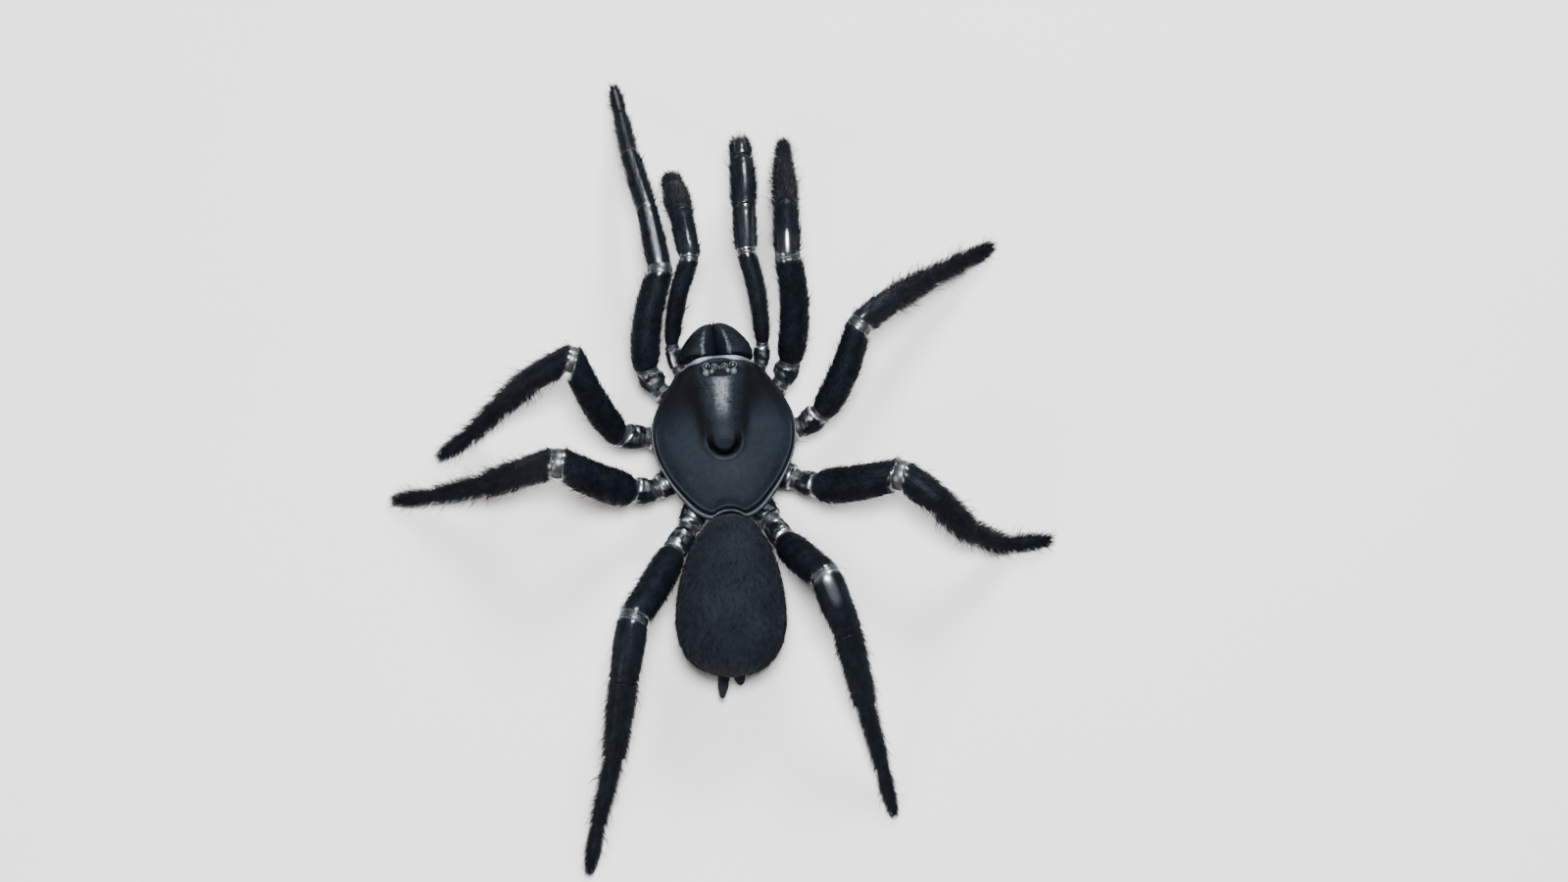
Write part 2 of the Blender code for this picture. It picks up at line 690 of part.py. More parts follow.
def build_palp(side, collection):
    name = "palp_" + SIDE_NAMES[side]
    inner = mirrored(PALP_COXA_INNER, side)
    outer = mirrored(PALP_COXA_OUTER, side)
    base = mirrored(PALP_FEMUR_BASE[side], side)
    ways = [direction(side, heading, pitch) for heading, pitch in PALP_POSES[side]]
    build_coxa(name, inner, outer, base, ways[FEMUR], PALP_COXA_WIDTHS, collection)
    bow = femur_bow(side, PALP_POSES[side][FEMUR], PALP_BOW)
    tibia, joints = build_limb(
        name, PALP_NODES, base - outer, base, ways, PALP_LENGTHS, PALP_WIDTHS, PALP_TIP_WIDTH, bow,
        collection,
    )
    fuse_bulb(tibia, joints, side, collection)


def fuse_bulb(tibia, joints, side, collection):
    """The palpal organ: a bulb under the tarsus with a spine that points back along the tibia."""
    *_, knee, wrist, tip = joints
    along = (wrist - knee).normalized()
    centre = wrist.lerp(tip, BULB_ALONG_SHARE) + Vector((-side * BULB_INWARD, 0, -BULB_DROP))
    bulb = ball(centre, BULB_RADIUS, BULB_SEGMENTS)
    spine_end = centre - along * EMBOLUS_LENGTH - UP * EMBOLUS_DROP
    middle = (centre + spine_end) / 2
    spine = sweep_path((centre, middle, spine_end), EMBOLUS_RADII, EMBOLUS_SIDES)
    pieces = [add_object("bulb", bulb, collection), add_object("embolus", spine, collection)]
    fuse(tibia, pieces)


def stand_on_origin(collection):
    """Parents every piece to one empty, moved so that the outer box stands centred on the origin."""
    bpy.context.view_layer.update()
    corners = [
        piece.matrix_world @ vertex.co for piece in collection.objects for vertex in piece.data.vertices
    ]
    lows, highs = ([pick(corner[axis] for corner in corners) for axis in range(3)] for pick in (min, max))
    stand = bpy.data.objects.new("trapdoor_spider", None)
    stand.location = (-(lows[0] + highs[0]) / 2, -(lows[1] + highs[1]) / 2, -lows[2])
    pieces = collection.objects[:]
    collection.objects.link(stand)
    for piece in pieces:
        piece.parent = stand


def main():
    clear_scene()
    collection = new_collection("trapdoor_spider")
    build_carapace(collection)
    build_sternum(collection)
    build_abdomen(collection)
    for side in SIDE_NAMES:
        build_chelicera(side, collection)
        build_fang(side, collection)
        build_spinneret(side, collection)
        build_palp(side, collection)
        for number in LEG_LENGTHS:
            build_leg(number, side, collection)
    stand_on_origin(collection)


if __name__ == "__main__":
    main()
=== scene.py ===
"""Visual model of an adult male trapdoor spider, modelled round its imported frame.

Every size in the code is in millimetres in the frame's axes: the head points to -Y, the spider's
left is +X and the floor is Z = 0. A piece is turned into metres when it is finished.
"""

import functools
import math

import bmesh
import bpy
import numpy as np
from mathutils import Matrix, Vector


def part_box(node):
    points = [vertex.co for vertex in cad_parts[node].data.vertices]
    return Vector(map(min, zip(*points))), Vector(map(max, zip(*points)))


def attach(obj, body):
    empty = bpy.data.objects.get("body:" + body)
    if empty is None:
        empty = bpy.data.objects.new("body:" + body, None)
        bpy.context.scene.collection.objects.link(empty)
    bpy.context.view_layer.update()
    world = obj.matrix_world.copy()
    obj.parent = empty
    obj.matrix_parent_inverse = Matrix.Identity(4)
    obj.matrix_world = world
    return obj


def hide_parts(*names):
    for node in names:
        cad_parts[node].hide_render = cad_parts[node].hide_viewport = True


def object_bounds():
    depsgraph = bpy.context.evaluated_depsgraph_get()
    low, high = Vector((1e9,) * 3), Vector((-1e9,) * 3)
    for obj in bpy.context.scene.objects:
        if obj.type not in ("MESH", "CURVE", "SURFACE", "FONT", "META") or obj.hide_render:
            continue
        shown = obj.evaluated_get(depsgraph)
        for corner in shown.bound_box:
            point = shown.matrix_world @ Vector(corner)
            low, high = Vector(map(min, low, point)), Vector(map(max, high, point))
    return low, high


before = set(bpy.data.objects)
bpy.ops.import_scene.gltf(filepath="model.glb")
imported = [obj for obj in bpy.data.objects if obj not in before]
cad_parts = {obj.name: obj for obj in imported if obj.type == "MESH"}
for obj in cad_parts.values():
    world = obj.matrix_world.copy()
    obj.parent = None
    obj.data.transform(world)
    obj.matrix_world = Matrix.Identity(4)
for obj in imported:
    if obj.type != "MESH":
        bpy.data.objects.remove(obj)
FRAME_BOX = [list(corner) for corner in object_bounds()]

bl_info = {
    "name": "Trapdoor spider",
    "version": (1, 0, 0),
    "blender": (4, 5, 0),
    "location": "View3D > Sidebar > Spider",
    "description": "Builds a life-size trapdoor spider piece by piece",
    "category": "Add Mesh",
}

MM = 0.001
UP = np.array((0.0, 0.0, 1.0))
LEFT, RIGHT = 1, -1
SIDES = (LEFT, RIGHT)
SIDE_NAMES = {LEFT: "left", RIGHT: "right"}

# Carapace, about a point under its middle. The outline is its left half from front to rear
OUTLINE_HALF = (
    (0.0, -4.18), (1.1, -4.09), (2.05, -3.65), (2.85, -2.65), (3.45, -1.6), (3.7, -0.6), (3.58, 0.6),
    (3.08, 1.8), (2.42, 2.9), (1.7, 3.72), (0.98, 4.1), (0.55, 3.93), (0.25, 3.82),
)
REAR_NOTCH = (0.0, 3.8)
CARAPACE_MIDDLE_Y = 0.3
CARAPACE_AROUND = 264
OUTLINE_POINTS = 720
CARAPACE_RINGS = 78
RIM_ZONE = 0.8
RIM_RINGS = 42
LIP_LEVEL = 6
UNDERSIDE = 3.0
MARGIN_HEIGHT = 3.32
FRONT_LIFT = 1.1
FRONT_LIFT_Y = -1.8
FRONT_LIFT_LENGTH = 2.2
THORAX_RISE = 0.95
THORAX_FULLNESS = 2.8
THORAX_HALF = (3.75, 4.2)
CORNER_DROP = 0.55
CREST_Y = np.linspace(-4.2, 0.9, 120)
CREST_STATIONS = (-4.2, -3.9, -3.6, -3.2, -2.8, -2.2, -1.4, -0.6, 0.1, 0.55, 0.9)
CREST_LEVELS = (4.5, 4.86, 5.1, 5.24, 5.27, 5.2, 5.04, 4.86, 4.68, 4.5, 4.3)
RADIAL_FURROWS = tuple(math.radians(way) for way in (55, 90))
CAPUT_FRONT_Y = -3.6
CAPUT_REAR_Y = 0.75
CAPUT_FRONT_HALF = 1.75
CAPUT_REAR_HALF = 0.9
CAPUT_ROUNDNESS = 1.5
FOVEA_HALF = 0.72
FOVEA_LENGTH = 0.75
FOVEA_Y = 0.15
EYES = (
    (0.25, -3.38, 0.125, True), (0.69, -3.44, 0.15, True), (0.41, -3.12, 0.1, False),
    (0.7, -3.09, 0.125, False),
)
EYE_DARK, EYE_PALE, EYE_SOCKET = range(3)
# Distance out and up over an eye's radius, from the outer foot of its socket to the inner one
SOCKET_PROFILE = ((1.5, -0.5), (1.42, 0.05), (1.25, 0.26), (1.08, 0.3), (0.9, 0.1), (0.6, -0.3))
# How pale each ring of a socket is painted, as a painted highlight on the rim round the lens.
SOCKET_HIGHLIGHT = (0.0, 0.35, 0.95, 0.75, 0.0, 0.0)
EYE_AROUND = 28
EYE_PATCH = (0.0, -3.27)
EYE_PATCH_HALF = (1.05, 0.47)

# Sternum and labium
STERNUM_HALF = (
    (0.0, -2.25), (0.55, -2.2), (0.95, -1.65), (1.28, -0.8), (1.35, 0.2), (1.05, 1.6), (0.5, 2.7),
)
STERNUM_REAR = (0.0, 3.0)
LABIUM_HALF = ((0.0, -3.1), (0.3, -3.02), (0.44, -2.7), (0.46, -2.42))
LABIUM_REAR = (0.0, -2.36)
STERNUM_BOTTOM = 1.2
STERNUM_TOP = 2.6

# Chelicerae: distance ahead, outer edge, height of the middle, half height
CHELICERA_STATIONS = (
    (4.3, 1.86, 3.3, 1.14), (4.6, 1.87, 3.32, 1.2), (4.9, 1.77, 3.3, 1.19), (5.2, 1.58, 3.24, 1.12),
    (5.5, 1.36, 3.15, 1.03), (5.8, 1.09, 3.02, 0.88), (6.06, 0.79, 2.9, 0.65),
    (6.24, 0.46, 2.82, 0.38), (6.32, 0.16, 2.78, 0.1),
)
CHELICERA_LEAN = (0.12, 0.14)
STRIPE_TURN = math.pi / 2 + 0.27
FANG_POINTS = (
    (0.72, -5.45, 1.85), (0.72, -5.36, 1.45), (0.71, -4.95, 1.17), (0.64, -4.35, 1.1),
    (0.55, -3.85, 1.24), (0.5, -3.62, 1.38),
)
FANG_RADII = (0.24, 0.27, 0.22, 0.16, 0.08, 0.02)

# Abdomen, pedicel and spinnerets
ABDOMEN_FRONT = (-0.1, 4.0, 3.75)
ABDOMEN_REAR = (0.42, 12.3, 3.3)
ABDOMEN_HALF_WIDTH = 2.78
ABDOMEN_HEIGHT_SHARE = 0.84
ABDOMEN_PROFILE = (
    (0.0, 0.06), (0.012, 0.24), (0.035, 0.36), (0.07, 0.46), (0.11, 0.56), (0.19, 0.71),
    (0.31, 0.84), (0.44, 0.94), (0.56, 0.99), (0.68, 1.0), (0.79, 0.94), (0.88, 0.8), (0.94, 0.61),
    (0.98, 0.37), (0.995, 0.19), (1.0, 0.05),
)
PEDICEL_POINTS = ((0, 2.9, 1.95), (0, 3.5, 2.05), (0, 4.1, 2.35), (-0.05, 4.9, 2.75))
PEDICEL_RADII = (0.3, 0.34, 0.36, 0.4)
SPINNERET_POINTS = {
    LEFT: ((0.8, 11.6, 1.6), (0.82, 12.0, 1.2), (0.88, 12.5, 1.28), (0.94, 12.98, 1.46)),
    RIGHT: ((0.04, 11.55, 1.55), (0.0, 11.85, 1.12), (-0.03, 12.05, 0.95), (-0.06, 12.26, 0.85)),
}
SPINNERET_RADII = (0.3, 0.3, 0.25, 0.12)

# Limbs: where one solid holds two segments, the share of its length at their joint
TROCHANTER_FROM = {1: 0.635, 2: 0.615, 3: 0.635, 4: 0.574, "palp": 0.62}
TARSUS_FROM = {1: 0.61, 2: 0.61, 3: 0.6, 4: 0.6}
PALP_TIP_TURNS = {LEFT: ((8, -41), (9, -46)), RIGHT: ((1, -10), (-3, -19))}
PALP_TIP_LENGTHS = (2.75, 1.12)
PALP_TARSUS_FROM = 0.71
PALP_TIP_HALF_WIDTHS = (0.6, 0.64, 0.64, 0.6, 0.5, 0.5, 0.47, 0.4)
LIMB_AROUND = 36
RING_STEP = 0.14
END_STEPS = (0.0, 0.012, 0.03, 0.055, 0.085, 0.12, 0.165, 0.22, 0.29, 0.37, 0.46)
SECTION_SHARES = (0.14, 0.22, 0.3, 0.4, 0.5, 0.6, 0.7, 0.78, 0.86)
TILT_REACH = 1.9
SOLE_TILT = 0.97
WELD = 1e-5

# The photograph: the camera's turn, height and distance, and the point that it looks at
CAMERA_AZIMUTH = 176.2
CAMERA_ELEVATION = 76.0
CAMERA_DISTANCE = 200.0
CAMERA_TARGET = (-3.037, 0.305, 3.5)
SENSOR_WIDTH = 36.0


def middle_of_carapace():
    """The point under the carapace's middle that its named sizes start from."""
    low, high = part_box("carapace")
    return np.array(((low.x + high.x) / 2 / MM, low.y / MM - OUTLINE_HALF[0][1], 0.0))


MIDDLE = middle_of_carapace()


def smoothed(values, rounds):
    """Averages the inner rows of a table with their neighbours, as often as rounds says."""
    for _ in range(rounds):
        values[1:-1] = (values[:-2] + 2 * values[1:-1] + values[2:]) / 4
    return values


def resampled(at, where, table):
    """The columns of a table, read at other places."""
    return np.column_stack([np.interp(at, where, column) for column in table.T])


CREST_HEIGHT = smoothed(np.interp(CREST_Y, CREST_STATIONS, CREST_LEVELS), 40)


def ease(value):
    """Smooth step from 0 to 1, for a number or an array."""
    value = np.clip(value, 0.0, 1.0)
    return value * value * (3 - 2 * value)


def hump(distance, width):
    """A smooth rise of height 1 where distance is 0."""
    return np.exp(-((distance / width) ** 2))


def unit(vector):
    vector = np.asarray(vector, float)
    return vector / np.linalg.norm(vector, axis=-1, keepdims=True)


def cross_ways(along):
    """The level way and the upward way that are square to a direction."""
    across = unit(np.cross(UP, along))
    return across, np.cross(along, across)


def direction(side, heading, pitch):
    """Unit vector turned from straight ahead to a side by heading, and up by pitch."""
    heading, pitch = math.radians(heading), math.radians(pitch)
    level = math.cos(pitch)
    return np.array((side * math.sin(heading) * level, -math.cos(heading) * level, math.sin(pitch)))


def smooth_path(points, count, closed=False):
    """Evenly numbered points on a smooth curve that passes through the given ones."""
    points = np.asarray(points, float)
    spans = len(points) if closed else len(points) - 1
    at = np.linspace(0, spans, count, endpoint=not closed)
    span = np.minimum(at.astype(int), spans - 1)
    part = (at - span)[:, None]
    corner = []
    for shift in (-1, 0, 1, 2):
        index = span + shift
        corner.append(points[index % len(points)] if closed else points[np.clip(index, 0, spans)])
    a, b, c, d = corner
    return 0.5 * (
        2 * b
        + (c - a) * part
        + (2 * a - 5 * b + 4 * c - d) * part**2
        + (3 * b - a - 3 * c + d) * part**3
    )


def mirrored_loop(half, rear):
    """A closed outline from its left half and its last point on the axis."""
    return [*half, rear, *((-x, y) for x, y in reversed(half[1:]))]


CARAPACE_OUTLINE = smooth_path(mirrored_loop(OUTLINE_HALF, REAR_NOTCH), OUTLINE_POINTS, closed=True)
CARAPACE_MIDDLE = np.array((0.0, CARAPACE_MIDDLE_Y))


def turns(count):
    return np.linspace(0, 2 * math.pi, count, endpoint=False)


def skin_ways(surface, share, turn, step=1e-3):
    """The way along a skin and its unit normal, from small steps along and round it."""
    along = surface(share + step, turn) - surface(share - step, turn)
    around = surface(share, turn + step) - surface(share, turn - step)
    return along, unit(np.cross(around, along))


class Piece:
    """One visible piece, modelled in millimetres in one mesh."""

    def __init__(self):
        self.mesh = bmesh.new()
        # bare sets the gloss; pale marks paler colour, much of it painted highlight, and on the carapace its
        # negative values paint shade.
        for mask in ("bare", "pale"):
            self.mesh.verts.layers.float.new(mask)

    def loft(self, rings, finish=0, bare=0.0, pale=0.0):
        """Closed skin through rings of points, from a grid that is wrapped round and capped."""
        count, around = rings.shape[:2]
        made = bmesh.ops.create_grid(self.mesh, x_segments=around, y_segments=count - 1, size=1.0)
        corners = made["verts"]
        places = np.concatenate([rings, rings[:, :1]], axis=1).reshape(-1, 3)
        for vertex, place in zip(corners, places):
            vertex.co = place
        for mask, value in (("bare", bare), ("pale", pale)):
            layer = self.mesh.verts.layers.float[mask]
            value = np.broadcast_to(value, (count, around))
            spread = np.concatenate([value, value[:, :1]], axis=1).ravel()
            for vertex, share in zip(corners, spread):
                vertex[layer] = share
        faces = list({face for vertex in corners for face in vertex.link_faces})
        seam = corners[:: around + 1] + corners[around :: around + 1]
        bmesh.ops.remove_doubles(self.mesh, verts=seam, dist=WELD)
        rim = list({edge for face in faces for edge in face.edges if edge.is_boundary})
        caps = bmesh.ops.holes_fill(self.mesh, edges=rim, sides=0)["faces"]
        faces += bmesh.ops.poke(self.mesh, faces=caps)["faces"]
        bmesh.ops.recalc_face_normals(self.mesh, faces=faces)
        for face in faces:
            face.material_index = finish

    def ball(self, centre, radii, finish, around, high):
        """An ellipsoid with the given three radii. Its points are handed back."""
        made = bmesh.ops.create_uvsphere(self.mesh, u_segments=around, v_segments=high, radius=1.0)
        corners = made["verts"]
        bmesh.ops.scale(self.mesh, vec=radii, verts=corners)
        bmesh.ops.translate(self.mesh, vec=centre, verts=corners)
        for face in {face for vertex in corners for face in vertex.link_faces}:
            face.material_index = finish
        return corners

    def done(self, name, finishes, slot, nodes):
        """Turns the mesh into an object in metres that stands for its CAD nodes."""
        bmesh.ops.scale(self.mesh, vec=(MM, MM, MM), verts=self.mesh.verts)
        data = bpy.data.meshes.new(name)
        self.mesh.to_mesh(data)
        self.mesh.free()
        data.shade_smooth()
        dress(name, data, finishes, nodes)


def placed(name, data):
    """Adds an object with the given data to the scene."""
    item = bpy.data.objects.new(name, data)
    bpy.context.scene.collection.objects.link(item)
    return item


def dress(name, data, finishes, nodes):
    """Links a finished mesh as a piece of the model."""
    for finish in finishes:
        data.materials.append(finish)
    piece = placed(name, data)
    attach(piece, "root")
    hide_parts(*nodes)


def path_rings(points, radii, count, around, flatness=1.0):
    """Rings square to a bent path, with radii that follow it."""
    line = smooth_path(points, count)
    size = smooth_path(np.asarray(radii, float)[:, None], count)
    across, upward = cross_ways(unit(np.gradient(line, axis=0)))
    turn = turns(around)[None, :, None]
    out = across[:, None] * np.cos(turn) + upward[:, None] * np.sin(turn) * flatness
    return line[:, None] + out * size[:, None]


def swollen(rings, sizes):
    """Rings, each grown about its own centre to its own size."""
    centres = rings.mean(1, keepdims=True)
    return centres + (rings - centres) * sizes[:, None, None]


class Course:
    """The centre line and half widths of one limb solid, from its near end to its far end."""

    SAMPLES = 81
    SMOOTHING = 14

    def __init__(self, centres, half_widths, half_heights, shares, near_way=None, far_way=None):
        centres = np.asarray(centres, float)
        chord = centres[-1] - centres[0]
        self.length = float(np.linalg.norm(chord))
        self.along = chord / self.length
        self.across, self.upward = cross_ways(self.along)
        self.near_way = self.along if near_way is None else near_way
        self.far_way = self.along if far_way is None else far_way
        self.grid = np.linspace(0, 1, self.SAMPLES)
        values = np.column_stack([centres, half_widths, half_heights])
        dense = smoothed(resampled(self.grid, shares, values), self.SMOOTHING)
        self.line, self.half_width, self.half_height = dense[:, :3], dense[:, 3], dense[:, 4]

    @classmethod
    def measured(cls, node, near):
        """Measured on a CAD node, from whichever of its ends lies nearer to a point."""
        solid = merged_node(node)
        ends = end_faces(solid)
        ends.sort(key=lambda end: np.linalg.norm(end[0] - near))
        (start, start_out, start_ring), (end, end_out, end_ring) = ends
        along = unit(end - start)
        across, upward = cross_ways(along)
        rows = [section_size(start_ring, start, across, upward)]
        for share in SECTION_SHARES:
            place = start + (end - start) * share
            ring = section_points(solid, place, along)
            rows.append(section_size(ring, place, across, upward))
        rows.append(section_size(end_ring, end, across, upward))
        solid.free()
        centres, half_widths, half_heights = zip(*rows)
        shares = (0.0, *SECTION_SHARES, 1.0)
        return cls(centres, half_widths, half_heights, shares, -start_out, end_out)

    def at(self, share):
        """Centre points for an array of shares, carried on straight past the ends."""
        inside = np.clip(share, 0, 1)
        columns = [np.interp(inside, self.grid, column) for column in self.line.T]
        past = (share - inside) * self.length
        return np.stack(columns, axis=-1) + past[..., None] * self.along

    def sizes(self, share):
        half_width = np.interp(share, self.grid, self.half_width)
        return half_width, np.interp(share, self.grid, self.half_height)

    def surface(self, share, turn, swell=1.0):
        """Points on the skin. Near a real end the rings lean into the plane of the joint."""
        half_width, half_height = self.sizes(share)
        out = self.across * (np.cos(turn) * half_width * swell)[..., None]
        out = out + self.upward * (np.sin(turn) * half_height * swell)[..., None]
        reach = TILT_REACH * half_width
        near = ease(1 - share * self.length / reach)
        far = ease(1 - (1 - share) * self.length / reach)
        slope = -near * (out @ self.near_way) / (self.along @ self.near_way)
        slope = slope - far * (out @ self.far_way) / (self.along @ self.far_way)
        skin = self.at(share) + out + slope[..., None] * self.along
        skin = self.rounded(skin, 0, -self.along)
        return self.rounded(skin, -1, self.along)

    def rounded(self, skin, end, past):
        """Draws the skin that runs past an end's middle in to an ellipsoid about that middle."""
        middle, wide, high = self.line[end], self.half_width[end], self.half_height[end]
        way = skin - middle
        beyond = way @ past
        side, up = way @ self.across / wide, way @ self.upward / high
        size = np.sqrt((beyond / wide) ** 2 + side**2 + up**2)
        share = np.where(beyond > 0, np.minimum(1, 1.03 / np.maximum(size, 1e-6)), 1.0)
        return middle + way * share[..., None]

    def outward(self, share, turn):
        """Unit normals of the skin."""
        return skin_ways(self.surface, share, turn)[1]


def merged_node(node):
    """A copy of a CAD node in millimetres, with its loose triangles merged."""
    solid = bmesh.new()
    solid.from_mesh(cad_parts[node].data)
    bmesh.ops.scale(solid, vec=(1 / MM,) * 3, verts=solid.verts)
    bmesh.ops.remove_doubles(solid, verts=solid.verts, dist=1e-4)
    return solid


def end_faces(solid):
    """Centre, outward way and corners of a limb solid's two flat ends."""
    flat = solid.copy()
    bmesh.ops.dissolve_limit(
        flat, angle_limit=math.radians(1), verts=flat.verts, edges=flat.edges
    )
    standing = [face for face in flat.faces if face.normal.z > -SOLE_TILT]
    ends = sorted(standing, key=lambda face: len(face.verts))[-2:]
    found = []
    for face in ends:
        ring = np.array([vertex.co for vertex in face.verts])
        centre = (ring.max(0) + ring.min(0)) / 2
        found.append((centre, unit(np.array(face.normal)), ring))
    flat.free()
    return found


def section_points(solid, place, along):
    """Where a plane square to along cuts a solid."""
    cut = solid.copy()
    everything = cut.verts[:] + cut.edges[:] + cut.faces[:]
    made = bmesh.ops.bisect_plane(cut, geom=everything, plane_co=place, plane_no=along)
    ring = [item.co[:] for item in made["geom_cut"] if isinstance(item, bmesh.types.BMVert)]
    cut.free()
    return np.array(ring)


def section_size(ring, place, across, upward):
    """Centre and half widths of a ring of points."""
    side = (ring - place) @ across
    height = (ring - place) @ upward
    centre = place + across * (side.max() + side.min()) / 2 + upward * (height.max() + height.min()) / 2
    return centre, (side.max() - side.min()) / 2, (height.max() - height.min()) / 2


class Segment:
    """One limb segment: a stretch of a course, and how its shell is finished at both ends."""

    def __init__(self, kind, course, start=0.0, end=1.0, knee_gap=0.0):
        self.kind = kind
        self.course = course
        self.gloss = 1.0
        self.fur = 1.0
        self.slim = 1.0
        self.fade = 0.0
        self.finish = HIP if kind in ("coxa", "trochanter") else SHELL
        look = SEGMENT_LOOKS[kind]
        near = look["near"] - (knee_gap if kind == "patella" else 0.0)
        far = look["far"] - (knee_gap if kind == "femur" else 0.0)
        self.start = start + (-near if start == 0.0 else SPLIT_GAP / 2) / course.length
        self.end = end + (far if end == 1.0 else -SPLIT_GAP / 2) / course.length
        self.length = (self.end - self.start) * course.length

    def distances(self):
        """Where the rings stand, closer together at both ends."""
        reach = min(END_STEPS[-1], self.length * 0.35)
        ends = np.array(END_STEPS) * reach / END_STEPS[-1]
        between = max(int((self.length - 2 * reach) / RING_STEP), 2)
        inner = np.linspace(reach, self.length - reach, between + 1)[1:-1]
        return np.concatenate([ends, inner, (self.length - ends)[::-1]])

    def swell(self, distance, turn):
        """The shell's own relief: rounded root, swollen collar at the far end, a fold behind it."""
        look = SEGMENT_LOOKS[self.kind]
        left = self.length - distance
        root = np.clip(distance / look["root"], 0, 1)
        rim = np.clip(left / look["rim"], 0, 1)
        size = 1 - look["root_drop"] * (1 - np.sqrt(1 - (1 - root) ** 2))
        size = size - look["rim_drop"] * (1 - np.sqrt(1 - (1 - rim) ** 2))
        size = size + look["collar"] * hump(left - 0.17, 0.1)
        size = size - look["fold"] * hump(left - 0.42, 0.07)
        size = size - look["fold"] * 0.6 * hump(distance - 0.36, 0.08)
        dorsal = np.clip(np.sin(turn), 0, 1)
        size = size + look["crest"] * dorsal**3 * np.sin(math.pi * distance / self.length)
        return size * self.slim

    def bareness(self, distance, turn):
        """How bare and polished the shell is: collars, condyles and the crest along its back."""
        look = SEGMENT_LOOKS[self.kind]
        left = self.length - distance
        ends = np.maximum(look["far_shine"] * hump(left, 0.28), look["near_shine"] * hump(distance, 0.24))
        narrow = 0.4 if self.finish == POLISHED else 0.0
        crest = look["polish"] * self.gloss * ease((np.sin(turn) - 0.45 - narrow) / (0.5 - narrow * 0.8))
        crest = crest * (1 - self.fade * ease((distance / self.length - 0.3) / 0.3))
        return np.clip(np.maximum(ends, crest), 0, 1)

    def painted_highlights(self, distance, turn):
        """Painted highlights: pale arcs on the rims and a paler back, over the upper part of the shell."""
        look = SEGMENT_LOOKS[self.kind]
        left = self.length - distance
        arcs = look["far_arc"] * hump(left - 0.08, 0.05) + look["near_arc"] * hump(distance - 0.08, 0.05)
        arcs = arcs * ease((np.sin(turn) + 0.1) / 0.6)
        return np.clip(np.maximum(arcs, look["back"] * ease((np.sin(turn) - 0.45) / 0.45)), 0, 1)

    def build(self, piece):
        distance = self.distances()[:, None]
        turn = turns(LIMB_AROUND)[None, :]
        distance, turn = np.broadcast_arrays(distance, turn)
        share = self.start + distance / self.course.length
        rings = self.course.surface(share, turn, self.swell(distance, turn))
        rings[..., 2] = np.maximum(rings[..., 2], FLOOR_CLEARANCE)
        pale = self.painted_highlights(distance, turn)
        piece.loft(rings, self.finish, bare=self.bareness(distance, turn), pale=pale)


SPLIT_GAP = 0.12
FLOOR_CLEARANCE = 0.004
# In each look, the arc entries paint pale highlight arcs on the upper side of the near and far rims, and
# back paints the top of the shell paler: both are painted highlights.
PLAIN_LOOK = {
    "near": 0.135,
    "far": 0.135,
    "root": 0.1,
    "root_drop": 0.06,
    "rim": 0.06,
    "rim_drop": 0.07,
    "collar": 0.025,
    "fold": 0.02,
    "crest": 0.0,
    "polish": 0.25,
    "near_shine": 0.14,
    "far_shine": 0.14,
    "near_arc": 0.0,
    "far_arc": 0.0,
    "back": 0.0,
}
# Coxae and trochanters get strong painted highlight arcs at both ends and a slightly pale painted top.
COXA_LOOK = {
    "near": 0.08,
    "far": 0.08,
    "near_shine": 1.0,
    "far_shine": 1.0,
    "near_arc": 0.45,
    "far_arc": 0.6,
    "polish": 1.0,
    "back": 0.08,
    "fold": 0.05,
    "collar": 0.05,
}
SEGMENT_LOOKS = {
    "coxa": {**PLAIN_LOOK, **COXA_LOOK, "rim": 0.26, "rim_drop": 0.3},
    "trochanter": {**PLAIN_LOOK, **COXA_LOOK, "root": 0.3, "root_drop": 0.28, "rim": 0.2, "rim_drop": 0.2},
    "femur": {**PLAIN_LOOK, "root": 0.24, "root_drop": 0.24, "near": 0.1, "polish": 0.0},
    "patella": {**PLAIN_LOOK, "root": 0.14, "root_drop": 0.1, "crest": 0.02, "polish": 0.4},
    "tibia": {**PLAIN_LOOK, "polish": 0.22},
    "metatarsus": {**PLAIN_LOOK, "polish": 0.16},
    "tarsus": {**PLAIN_LOOK, "rim": 0.42, "rim_drop": 0.84, "collar": 0.0, "polish": 0.1},
}
# The femur's far rim and the patella's near rim carry painted highlight arcs at the knee.
SEGMENT_LOOKS["femur"].update(far=0.11, rim=0.14, rim_drop=0.1, far_shine=0.8, far_arc=0.6)
SEGMENT_LOOKS["patella"].update(near=0.11, near_shine=0.8, near_arc=0.6)


def knee(piece, femur, patella):
    """The rounded end of the femur under the skin of the knee."""
    inner = femur.course.at(np.array(femur.end))
    outer = patella.course.at(np.array(patella.start))
    width, height = femur.course.sizes(0.98)
    size = 0.98 * (width + height) / 2
    centre = (inner + outer) / 2
    bare = piece.mesh.verts.layers.float["bare"]
    # bare rises from the knee's lower half to its top: it sets the gloss, and the knee finish also paints
    # the lower half darker as painted shade.
    for vertex in piece.ball(centre, (size, size, size), KNEE, 30, 20):
        vertex[bare] = ease((vertex.co.z - centre[2]) / size / 0.8)


